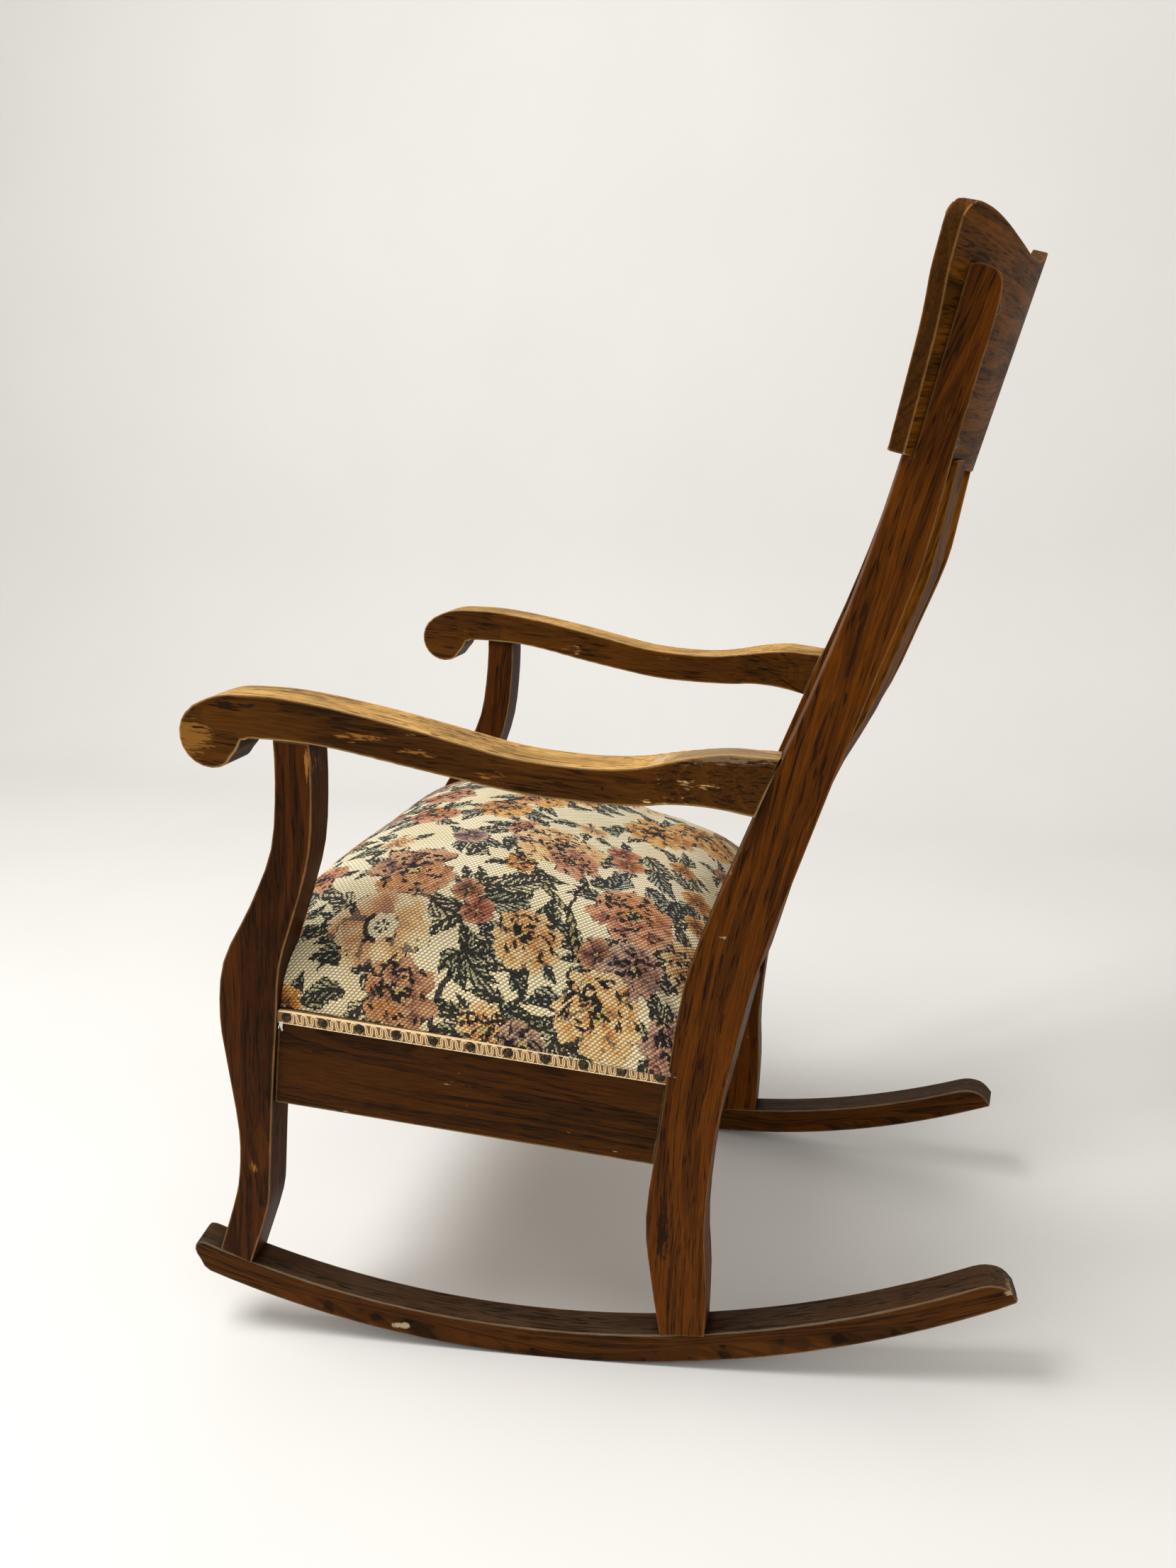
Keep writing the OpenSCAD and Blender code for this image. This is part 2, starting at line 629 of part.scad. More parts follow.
// Seat frame. Its upper face is a plane that slopes back
function seat_top(y) = seat_z - y * tan(seat_slope);
module sloped() {
    translate([0, 0, seat_z]) rotate([-seat_slope, 0, 0]) children();
}

// Places of the posts' edges at the ends of the side rails, found in two rounds
function meets(line) = line_y(line, seat_top(line_y(line, seat_z)));
side_front_y = meets(front_post_rear());
side_rear_y = meets(back_post_front());
side_front_x = front_x(seat_top(side_front_y)) + front_post_t / 2 - rail_reveal;
side_rear_x = back_x(seat_top(side_rear_y)) + back_post_t / 2 - rail_reveal;
side_taper = (side_front_x - side_rear_x) / (side_rear_y - side_front_y);
side_yaw = atan(side_taper);
// The side rails lean outwards as the posts do
side_lean = (front_lean + back_lean) / 2;
function side_x(y) = side_front_x - (y - side_front_y) * side_taper;
// The same faces in the plane of the seat
plan_front_y = -front_rail_y / cos(seat_slope);
plan_rear_y = rear_rail_y / cos(seat_slope);

// Plan outline of the seat frame, grown or shrunk by a margin
function seat_plan(m) = [
    [side_x(plan_front_y) + m, plan_front_y - m], [side_x(plan_rear_y) + m, plan_rear_y + m],
    [-side_x(plan_rear_y) - m, plan_rear_y + m], [-side_x(plan_front_y) - m, plan_front_y - m]];

// Both pairs of posts, for cutting
module posts_blank(grow = 0) {
    for (side = [1, -1]) left(side) {
        front_post_blank(front_post_t + 2 * grow);
        back_post_blank(back_post_t + 2 * grow);
    }
}

// A frame on the left rail's outer face: X outwards, Y backwards along the rail, Z up its face
module side_frame() {
    sloped() translate([side_x(0), 0, 0]) rotate([0, 0, side_yaw]) rotate([0, side_lean, 0]) children();
}

// The space between the seat frame's upper and lower faces
module frame_layer() {
    sloped() translate([-arm_outer_x, -arm_outer_x - over, -rail_h])
        cube([2 * arm_outer_x, 2 * arm_outer_x + over, rail_h]);
}

module side_rail_blank() {
    intersection() {
        frame_layer();
        side_frame() translate([-rail_t, side_front_y - front_post_w / 2, -rail_h - over])
            cube([rail_t, side_rear_y - side_front_y + (front_post_w + back_post_w) / 2, rail_h + 2 * over]);
    }
}

// A rail across the chair with upright faces
module cross_rail_blank(from_y, to_y, half_w) {
    intersection() {
        frame_layer();
        translate([-half_w, from_y, seat_z - 2 * rail_h]) cube([2 * half_w, to_y - from_y, 3 * rail_h]);
    }
}

module front_rail_blank() {
    cross_rail_blank(-front_rail_y, -front_rail_y + rail_t, front_x(seat_z));
}

module rear_rail_blank() {
    cross_rail_blank(rear_rail_y - rail_t, rear_rail_y, back_x(seat_z - rail_h / 2));
}

module seat_rail(side) {
    left(side) difference() {
        side_rail_blank();
        posts_blank();
        seat_rail_dowel_set(fit);
        nail_set("side", true);
        tack_set(true);
    }
}

module cross_rail(kind) {
    color("saddlebrown") difference() {
        if (kind == "front") front_rail_blank();
        else rear_rail_blank();
        posts_blank();
        for (side = [1, -1]) left(side) seat_rail_dowel_set(fit);
        nail_set(kind, true);
        tack_set(true);
    }
}

// Dowels from the left-hand seat rail and the cross rails into the left-hand posts
module seat_rail_dowel_set(gap) {
    side_frame() for (z = [-0.22, -0.76]) for (end = [[side_front_y, 1], [side_rear_y, -1]])
        translate([-rail_t / 2, end[0] + end[1] * rail_t * 0.2, rail_h * z]) rotate([90, 0, 0])
            dowel(gap);
    for (z = [-0.42, -0.58]) {
        translate([front_x(seat_z) - front_post_t / 2, -front_rail_y + rail_t / 2,
            seat_top(-front_rail_y) + rail_h * z]) rotate([0, 90, 0]) dowel(gap);
        translate([back_x(seat_z - rail_h / 2) - back_post_t / 2, rear_rail_y - rail_t / 2,
            seat_top(rear_rail_y) + rail_h * z]) rotate([0, 90, 0]) dowel(gap);
    }
}

module dowel(gap) {
    cylinder(r = dowel_r + gap, h = dowel_l + 2 * gap, center = true, $fn = fine_fn);
}

module seat_rail_dowels() {
    color("burlywood") for (side = [1, -1]) left(side) seat_rail_dowel_set(0);
}

// Corner blocks in the seat frame, each cut to its rails and its post
module corner_block(front, side) {
    inward = front ? 1 : -1;
    corner_y = front ? plan_front_y + rail_t : plan_rear_y - rail_t;
    corner_x = side_x(corner_y) - rail_t;
    far_y = corner_y + inward * block_leg;
    buried = rail_t / 2;
    color("peru") left(side) difference() {
        sloped() translate([0, 0, -block_drop - block_h]) linear_extrude(block_h) polygon([
            [corner_x + buried, corner_y - inward * buried], [side_x(far_y) - buried, far_y],
            [side_x(far_y) - rail_t - block_leg * 0.25, far_y],
            [corner_x - block_leg, corner_y + inward * block_leg * 0.25],
            [corner_x - block_leg, corner_y - inward * buried]]);
        posts_blank();
        side_rail_blank();
        front_rail_blank();
        rear_rail_blank();
        block_screw_set(fit);
    }
}

// Screws through the left-hand corner blocks' slanted faces into the posts
module block_screw_set(gap) {
    sloped() for (front = [true, false]) {
        inward = front ? 1 : -1;
        corner_y = front ? plan_front_y + rail_t : plan_rear_y - rail_t;
        mid_x = side_x(corner_y) - rail_t - block_leg * 0.625;
        mid_y = corner_y + inward * block_leg * 0.625;
        translate([mid_x, mid_y, -block_drop - block_h / 2]) rotate([0, 90, -inward * 45]) {
            cylinder(r = block_screw_r + gap, h = block_screw_l + gap, $fn = fine_fn);
            translate([0, 0, gap > 0 ? -over : 0])
                cylinder(r = block_screw_head_r + gap, h = block_screw_head_h + (gap > 0 ? over : 0),
                    $fn = fine_fn);
        }
    }
}

module corner_block_screws() {
    color("dimgray") for (side = [1, -1]) left(side) block_screw_set(0);
}

// Webbing: strips under the rails, woven over and under each other inside the frame
inner_front_y = plan_front_y + rail_t;
inner_rear_y = plan_rear_y - rail_t;
cross_pitch = (inner_rear_y - inner_front_y - rail_t) / web_cross_count;
function cross_y(j) = inner_front_y + rail_t / 2 + cross_pitch * (j + 0.5);
function cross_end(j) = side_x(cross_y(j)) - rail_h * tan(side_lean) - rail_t / 3;
long_pitch = 2 * (side_x(inner_rear_y) - back_post_t - rail_t / 4) / web_long_count;
function long_x(i) = (i - (web_long_count - 1) / 2) * long_pitch;
web_rise = web_t / 2 + fit;
web_level = -rail_h - web_t / 2;

// A strip's middle line: flat under the rails, then over and under at each crossing
function woven(from, to, crossings, first) = concat([[from, 0]],
    [for (k = [0:len(crossings) - 1]) let (up = (k + first) % 2 == 0 ? 1 : -1)
        for (e = [-1, 1]) [crossings[k] + e * web_w * 0.46, up * web_rise]], [[to, 0]]);

module strip(line) {
    translate([0, 0, web_level]) rotate([90, 0, 90]) translate([0, 0, -web_w / 2])
        linear_extrude(web_w) polygon(concat([for (p = line) p + [0, web_t / 2]],
            [for (p = reversed(line)) p - [0, web_t / 2]]));
}

module lengthwise_webbing() {
    ys = [for (j = [0:web_cross_count - 1]) cross_y(j)];
    color("tan") difference() {
        sloped() for (i = [0:web_long_count - 1]) translate([long_x(i), 0, 0])
            strip(frame_end(woven(plan_front_y + rail_t / 3, plan_rear_y - rail_t / 3, ys, i),
                inner_front_y, inner_rear_y));
        tack_set(true);
    }
}

module crosswise_webbing() {
    xs = [for (i = [0:web_long_count - 1]) long_x(i)];
    color("tan") difference() {
        sloped() for (j = [0:web_cross_count - 1]) {
            half = cross_end(j);
            translate([0, cross_y(j), 0]) rotate([0, 0, -90])
                strip(frame_end(woven(-half, half, xs, j + 1), -half + rail_t, half - rail_t));
        }
        tack_set(true);
    }
}

// Keeps a strip's line flat as far as the inner faces of the rails
function frame_end(line, from, to) = concat([line[0], [from, 0]],
    [for (k = [1:len(line) - 2]) line[k]], [[to, 0], line[len(line) - 1]]);

// Two tacks at each end of each strip, or the holes for them
module tack(hole) {
    translate([0, 0, -rail_h - web_t]) {
        cylinder(r = hole ? tack_shank_r + fit / 3 : tack_shank_r, h = tack_l + (hole ? fit : 0), $fn = 6);
        if (!hole) translate([0, 0, -tack_head_h]) cylinder(r = tack_head_r, h = tack_head_h, $fn = 8);
        else translate([0, 0, -over]) cylinder(r = tack_shank_r, h = over + tack_head_h / 2, $fn = 6);
    }
}

module tack_set(hole) {
    sloped() {
        for (i = [0:web_long_count - 1], e = [-1, 1],
            y = [plan_front_y + rail_t * 0.7, plan_rear_y - rail_t * 0.7])
                translate([long_x(i) + e * web_w / 4, y, 0]) tack(hole);
        for (j = [0:web_cross_count - 1], e = [-1, 1], side = [1, -1]) left(side)
            translate([cross_end(j) - rail_t * 0.3, cross_y(j) + e * web_w / 4, 0]) tack(hole);
    }
}

module webbing_tacks() {
    color("dimgray") tack_set(false);
}

// Springs: waisted coils that stand on the webbing's crossings under the burlap
spring_foot_z = web_level + web_rise + web_t / 2 + fit + wire_d / 2;
spring_top_z = -fit - wire_d / 2;
coil_steps = 8;
wire_sides = 6;
function spring_radius(t) = spring_waist_r + (spring_r - spring_waist_r) * pow(2 * t - 1, 2);
function spring_height(t) = let (u = spring_turns * t) let (flat = 0.75)
    let (s = max(0, min(1, (u - flat) / (spring_turns - 2 * flat))))
    spring_foot_z + (spring_top_z - spring_foot_z) * s;
function spring_point(t) = [spring_radius(t) * cos(360 * spring_turns * t),
    spring_radius(t) * sin(360 * spring_turns * t), spring_height(t)];
spring_rings = spring_turns * coil_steps;
function unit(v) = v / norm(v);
function ring_at(k) = let (t = k / spring_rings, p = spring_point(t),
    along = unit(spring_point(min(1, t + 0.01)) - spring_point(max(0, t - 0.01))),
    out = unit(cross(along, [0, 0, 1])), up = cross(out, along))
    [for (m = [0:wire_sides - 1]) let (a = 360 * m / wire_sides)
        p + wire_d / 2 * (out * cos(a) + up * sin(a))];

// Least gap between turns, measured between points at least half a turn apart
gap_points = [for (k = [0:4 * spring_rings]) spring_point(k / (4 * spring_rings))];
least_gap = min([for (a = [0:len(gap_points) - 1], b = [a + 2 * coil_steps:1:len(gap_points) - 1])
    norm(gap_points[a] - gap_points[b])]) - wire_d;
echo(least_spring_gap = least_gap);

module spring() {
    rings = [for (k = [0:spring_rings]) ring_at(k)];
    n = wire_sides;
    polyhedron(points = [for (r = rings, p = r) p], faces = concat(
        [for (k = [0:spring_rings - 1], m = [0:n - 1], half = [0, 1])
            let (a = k * n + m, b = k * n + (m + 1) % n) half == 0 ? [a, b, b + n] : [a, b + n, a + n]],
        [[for (m = [n - 1:-1:0]) m]], [[for (m = [0:n - 1]) spring_rings * n + m]]), convexity = 10);
}

spring_places = [[1, 0], [3, 0], [2, 1], [1, 2], [3, 2]];

module seat_springs() {
    color("darkgray") sloped() for (s = spring_places)
        translate([long_x(min(s[0], web_long_count - 1)), cross_y(min(s[1], web_cross_count - 1)), 0])
            spring();
}

// Burlap over the springs, lapped on the rails' tops
module spring_burlap() {
    color("wheat") difference() {
        sloped() linear_extrude(burlap_t) polygon(seat_plan(burlap_lap - rail_t));
        sloped() translate([0, 0, -over]) corner_reliefs();
    }
}

// Square clearances round the four posts, as far as the posts stand into the seat
module corner_reliefs() {
    front_in = front_x(seat_z) - front_post_t / 2 - cover_gap;
    back_in = back_x(seat_z) - back_post_t / 2 - cover_gap;
    for (side = [1, -1]) left(side) {
        translate([front_in, side_front_y - front_post_w - crown_h, 0])
            cube([2 * front_post_t, front_post_w + crown_h + cover_gap + post_relief, 2 * crown_h]);
        translate([back_in, side_rear_y - cover_gap - post_relief, 0])
            cube([2 * back_post_t, back_post_w + crown_h, 2 * crown_h]);
    }
}

// Cushion: a crown over a seat-shaped outline, with sides that bulge and are drawn in at their foot
cushion_mid_y = (plan_front_y + plan_rear_y) / 2;
cushion_half_l = (plan_rear_y - plan_front_y) / 2;
cushion_foot = gimp_drop / 2;
crown_bend = 3;
crown_rise = 0.4;
crown_steps = 24;
stuffing_steps = 12;
crown_line = smooth(crown_shares);

// Height of the crown as a share, across the seat and along it, at places from -1 to 1
function crown_across(a) = pow(1 - pow(abs(a), crown_bend), crown_rise);
function crown_along(b) = lookup(b, crown_line);
function cushion_margin(z) = cover_t - cover_gap + cushion_bulge * sin(180 * max(0, min(1, z / side_h)));
// A point of the crown over a foot at a height, drawn in by an inset all round
function cushion_point(a, b, inset, foot) = let (share = crown_across(a) * crown_along(b),
    m = cushion_margin((crown_h - foot) * share) - inset, y = cushion_mid_y + b * (cushion_half_l + m))
    [a * (side_x(y) + m), y, foot + (crown_h - inset - foot) * share];

// Half of a grid's square, split so that no face lies flat in a corner of the grid
function grid_face(k, row, half, along) = along
    ? (half == 0 ? [k, k + 1, k + row + 1] : [k, k + row + 1, k + row])
    : (half == 0 ? [k, k + 1, k + row] : [k + 1, k + row + 1, k + row]);

module cushion_form(inset, foot, n) {
    places = [for (i = [0:n]) sin(90 * (2 * i / n - 1))];
    row = n + 1;
    rim = concat([for (i = [0:n - 1]) i * row], [for (j = [0:n - 1]) n * row + j],
        [for (i = [n:-1:1]) i * row + n], [for (j = [n:-1:1]) j]);
    polyhedron(points = concat([for (a = places, b = places) cushion_point(a, b, inset, foot)],
        [[0, cushion_mid_y, foot]]), faces = concat(
            [for (i = [0:n - 1], j = [0:n - 1], half = [0, 1])
                grid_face(i * row + j, row, half, (i < n / 2) == (j < n / 2))],
            [for (i = [0:4 * n - 1]) [rim[i], rim[(i + 1) % (4 * n)], row * row]]), convexity = 6);
}

// The lower back rail with a clearance, where it presses into the cushion
module rail_relief() {
    bent_band(lower_rail_y + cover_gap, lower_rail_z, lower_rail_t + 2 * cover_gap, lower_rail_h,
        -cover_gap);
}

module seat_cover() {
    color("wheat") difference() {
        sloped() difference() {
            cushion_form(0, -cushion_foot, crown_steps);
            cushion_form(cover_t, 0, stuffing_steps);
            translate([0, 0, -rail_h]) linear_extrude(rail_h + burlap_t + stuffing_gap)
                polygon(seat_plan(cover_gap));
            translate([0, 0, -over]) corner_reliefs();
        }
        rail_relief();
    }
}

module seat_stuffing() {
    color("linen") difference() {
        sloped() difference() {
            cushion_form(cover_t + stuffing_gap, burlap_t + stuffing_gap, stuffing_steps);
            translate([0, 0, -over]) corner_reliefs();
        }
        rail_relief();
    }
}

// Gimp: braid strips along the cover's lower edge, between the posts
gimp_z = -gimp_drop - gimp_h;

module side_gimp(side) {
    color("cornsilk") left(side) difference() {
        side_frame() translate([0, side_front_y - front_post_w / 2, gimp_z])
            cube([gimp_t, side_rear_y - side_front_y + (front_post_w + back_post_w) / 2, gimp_h]);
        posts_blank(2 * gimp_t);
        nail_set("side", true);
    }
}

module cross_gimp(kind) {
    half_w = kind == "front" ? front_x(seat_z) : back_x(seat_z);
    y = kind == "front" ? -front_rail_y - gimp_t : rear_rail_y;
    color("cornsilk") difference() {
        translate([-half_w, y, seat_top(kind == "front" ? -front_rail_y : rear_rail_y) + gimp_z])
            cube([2 * half_w, gimp_t, gimp_h]);
        posts_blank();
        nail_set(kind, true);
    }
}

// Decorative nails: a domed head on a round shank, drawn with its head towards +Z
module nail(hole) {
    if (hole) translate([0, 0, -nail_l - fit])
        cylinder(r = nail_shank_r + fit / 2, h = nail_l + over, $fn = 16);
    else {
        translate([0, 0, -nail_l]) cylinder(r = nail_shank_r, h = nail_l, $fn = 16);
        domed_head(nail_r, nail_dome);
    }
}

nail_z = gimp_z + gimp_h / 2;
side_nail_from = side_front_y + nail_r + gimp_t / 2;
side_nail_to = side_rear_y - nail_r - gimp_t / 2;

module nail_set(kind, hole) {
    side_step = (side_nail_to - side_nail_from) / (side_nail_count - 1);
    if (kind == "side") side_frame() for (i = [0:side_nail_count - 1])
        translate([gimp_t, side_nail_from + side_step * i, nail_z]) rotate([0, 90, 0]) nail(hole);
    if (kind == "front")
        nail_row(front_nail_count, front_x(seat_z) - front_post_t / 2, -front_rail_y, -1, hole);
    if (kind == "rear") nail_row(rear_nail_count, back_x(seat_z) - back_post_t / 2, rear_rail_y, 1, hole);
}

// A row of nails across the chair on an upright face, with their heads towards one end of Y
module nail_row(count, post_x, y, out, hole) {
    half = post_x - nail_r - 3 * gimp_t;
    for (i = [0:count - 1])
        translate([half * (2 * i / (count - 1) - 1), y + out * gimp_t, seat_top(y) + nail_z])
            rotate([-90 * out, 0, 0]) nail(hole);
}

module gimp_nails(kind, side) {
    color([0.2, 0.16, 0.12]) left(side) nail_set(kind, false);
}

color("saddlebrown") placed() rocker(1);  // left_rocker
color("saddlebrown") placed() rocker(-1);  // right_rocker
color("saddlebrown") placed() front_post(1);  // left_front_post
color("saddlebrown") placed() front_post(-1);  // right_front_post
color("sienna") placed() back_post(1);  // left_back_post
color("sienna") placed() back_post(-1);  // right_back_post
color("peru") placed() arm(1);  // left_arm
color("peru") placed() arm(-1);  // right_arm
placed() crest_rail();
placed() lower_back_rail();
placed() slat(slat_count - 1);  // left_back_slat
placed() for (i = [1:slat_count - 2]) slat(i);  // centre_back_slat
placed() slat(0);  // right_back_slat
color("saddlebrown") placed() seat_rail(1);  // left_seat_rail
color("saddlebrown") placed() seat_rail(-1);  // right_seat_rail
placed() cross_rail("front");  // front_seat_rail
placed() cross_rail("rear");  // rear_seat_rail
placed() corner_block(true, 1);  // front_left_corner_block
placed() corner_block(true, -1);  // front_right_corner_block
placed() corner_block(false, 1);  // rear_left_corner_block
placed() corner_block(false, -1);  // rear_right_corner_block
placed() rocker_dowels();
placed() arm_dowels();
placed() seat_rail_dowels();
placed() crest_screws();
placed() arm_screws();
placed() corner_block_screws();
placed() lengthwise_webbing();
placed() crosswise_webbing();
placed() webbing_tacks();
placed() seat_springs();
placed() spring_burlap();
placed() seat_stuffing();
placed() seat_cover();
placed() side_gimp(1);  // left_gimp
placed() side_gimp(-1);  // right_gimp
placed() cross_gimp("front");  // front_gimp
placed() cross_gimp("rear");  // rear_gimp
placed() gimp_nails("side", 1);  // left_gimp_nails
placed() gimp_nails("side", -1);  // right_gimp_nails
placed() gimp_nails("front", 1);  // front_gimp_nails
placed() gimp_nails("rear", 1);  // rear_gimp_nails
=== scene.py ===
"""Looks of an oak rocking armchair with a stuffed tapestry seat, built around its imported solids."""

import json
import logging
import math
from dataclasses import dataclass
from enum import Enum

import bmesh
import bpy
import numpy as np
from mathutils import Matrix, Vector

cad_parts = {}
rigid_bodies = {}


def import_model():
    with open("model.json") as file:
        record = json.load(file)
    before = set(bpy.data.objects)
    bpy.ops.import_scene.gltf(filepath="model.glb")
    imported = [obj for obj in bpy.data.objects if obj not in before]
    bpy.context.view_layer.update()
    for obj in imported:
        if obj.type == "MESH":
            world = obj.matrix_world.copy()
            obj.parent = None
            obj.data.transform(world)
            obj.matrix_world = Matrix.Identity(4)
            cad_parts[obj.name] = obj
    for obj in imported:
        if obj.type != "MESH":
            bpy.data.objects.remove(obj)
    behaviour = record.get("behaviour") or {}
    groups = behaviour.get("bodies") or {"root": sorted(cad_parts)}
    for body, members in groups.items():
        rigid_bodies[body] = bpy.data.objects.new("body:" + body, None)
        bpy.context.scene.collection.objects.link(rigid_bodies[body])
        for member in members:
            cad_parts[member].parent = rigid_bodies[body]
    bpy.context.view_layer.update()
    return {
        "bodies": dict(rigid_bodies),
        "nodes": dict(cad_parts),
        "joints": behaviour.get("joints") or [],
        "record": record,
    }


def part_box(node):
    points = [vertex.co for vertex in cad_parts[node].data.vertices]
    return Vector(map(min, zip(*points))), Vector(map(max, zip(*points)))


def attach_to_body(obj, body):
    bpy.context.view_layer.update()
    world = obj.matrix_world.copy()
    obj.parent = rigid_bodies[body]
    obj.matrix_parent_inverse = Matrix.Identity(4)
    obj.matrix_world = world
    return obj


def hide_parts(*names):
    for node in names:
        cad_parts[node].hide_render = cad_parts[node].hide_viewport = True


log = logging.getLogger("armchair")
BODY = "root"
SLOPE = math.radians(6.0)
SEAT_HEIGHT = 0.3268
CONTACT_SHIFT = 0.0298
FULL_TURN = 2 * math.pi
MM_PER_M = 1000
ATTRIBUTE_FIELDS = {"FLOAT": "value", "FLOAT_VECTOR": "vector", "FLOAT_COLOR": "color"}
Colour = tuple[float, float, float]
Triple = tuple[float, float, float]
Material = bpy.types.Material
Mesh = bpy.types.Mesh
Piece = bpy.types.Object
Tree = bpy.types.NodeTree
Nodes = dict[str, Piece]


def dye(red: float, green: float, blue: float) -> Colour:
    """Turns a colour seen on a screen, 0 to 255, into the linear colour that a shader wants."""
    shares = [part / 255.0 for part in (red, green, blue)]
    return tuple(s / 12.92 if s <= 0.04045 else ((s + 0.055) / 1.055) ** 2.4 for s in shares)


def shaped(name: str, points: np.ndarray, faces: list) -> Mesh:
    """Makes a smoothly shaded mesh.

    Args:
        name: Its name.
        points: Its points.
        faces: The point numbers of each face.

    Returns:
        The mesh.
    """
    mesh = bpy.data.meshes.new(name)
    mesh.from_pydata(points.reshape(-1, 3).tolist(), [], faces)
    mesh.polygons.foreach_set("use_smooth", [True] * len(mesh.polygons))
    return mesh


def grid_faces(nu: int, nv: int) -> np.ndarray:
    """Lists the faces of a grid of points.

    Args:
        nu: Its steps one way.
        nv: Its steps the other way, along which the points are numbered.

    Returns:
        Four point numbers for each face.
    """
    i, j = np.meshgrid(np.arange(nu), np.arange(nv), indexing="ij")
    first = i * (nv + 1) + j
    return np.stack([first, first + nv + 1, first + nv + 2, first + 1], -1).reshape(-1, 4)


def vectors(items: bpy.types.bpy_prop_collection, field: str) -> np.ndarray:
    """Reads one vector from every vertex or face of a mesh.

    Args:
        items: The vertices or faces.
        field: What is read.

    Returns:
        A row for each of them.
    """
    values = np.empty(len(items) * 3)
    items.foreach_get(field, values)
    return values.reshape(-1, 3)


def attach(mesh: Mesh, name: str, kind: str, domain: str, values: np.ndarray) -> None:
    """Stores an attribute on a mesh."""
    data = mesh.attributes.new(name, kind, domain).data
    data.foreach_set(ATTRIBUTE_FIELDS[kind], values.astype(np.float32).ravel())


def put(mesh: Mesh, *paints: Material) -> Piece:
    """Puts a mesh in the scene as an object of the same name.

    Args:
        mesh: The mesh.
        *paints: Its materials.

    Returns:
        The object.
    """
    for paint in paints:
        mesh.materials.append(paint)
    piece = bpy.data.objects.new(mesh.name, mesh)
    bpy.context.scene.collection.objects.link(piece)
    return piece


def stand_in(piece: Piece, slot: str, *nodes: str) -> None:
    """Lets an object take the place of CAD nodes.

    Args:
        piece: The object.
        slot: Its material slot in the record; not used.
        *nodes: The nodes that it replaces.
    """
    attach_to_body(piece, BODY)
    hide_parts(*nodes)


@dataclass(frozen=True)
class Wire:
    """An output of a node, which can stand in sums and products."""

    sketch: "Sketch"
    socket: bpy.types.NodeSocket

    def __add__(self, other: object) -> "Wire":
        """Adds something to it."""
        return self.sketch.number("ADD", self, other)

    def __sub__(self, other: object) -> "Wire":
        """Takes something away from it."""
        return self.sketch.number("SUBTRACT", self, other)

    def __rsub__(self, other: object) -> "Wire":
        """Takes it away from something."""
        return self.sketch.number("SUBTRACT", other, self)

    def __mul__(self, other: object) -> "Wire":
        """Multiplies it."""
        return self.sketch.number("MULTIPLY", self, other)

    def __truediv__(self, other: object) -> "Wire":
        """Divides it."""
        return self.sketch.number("DIVIDE", self, other)


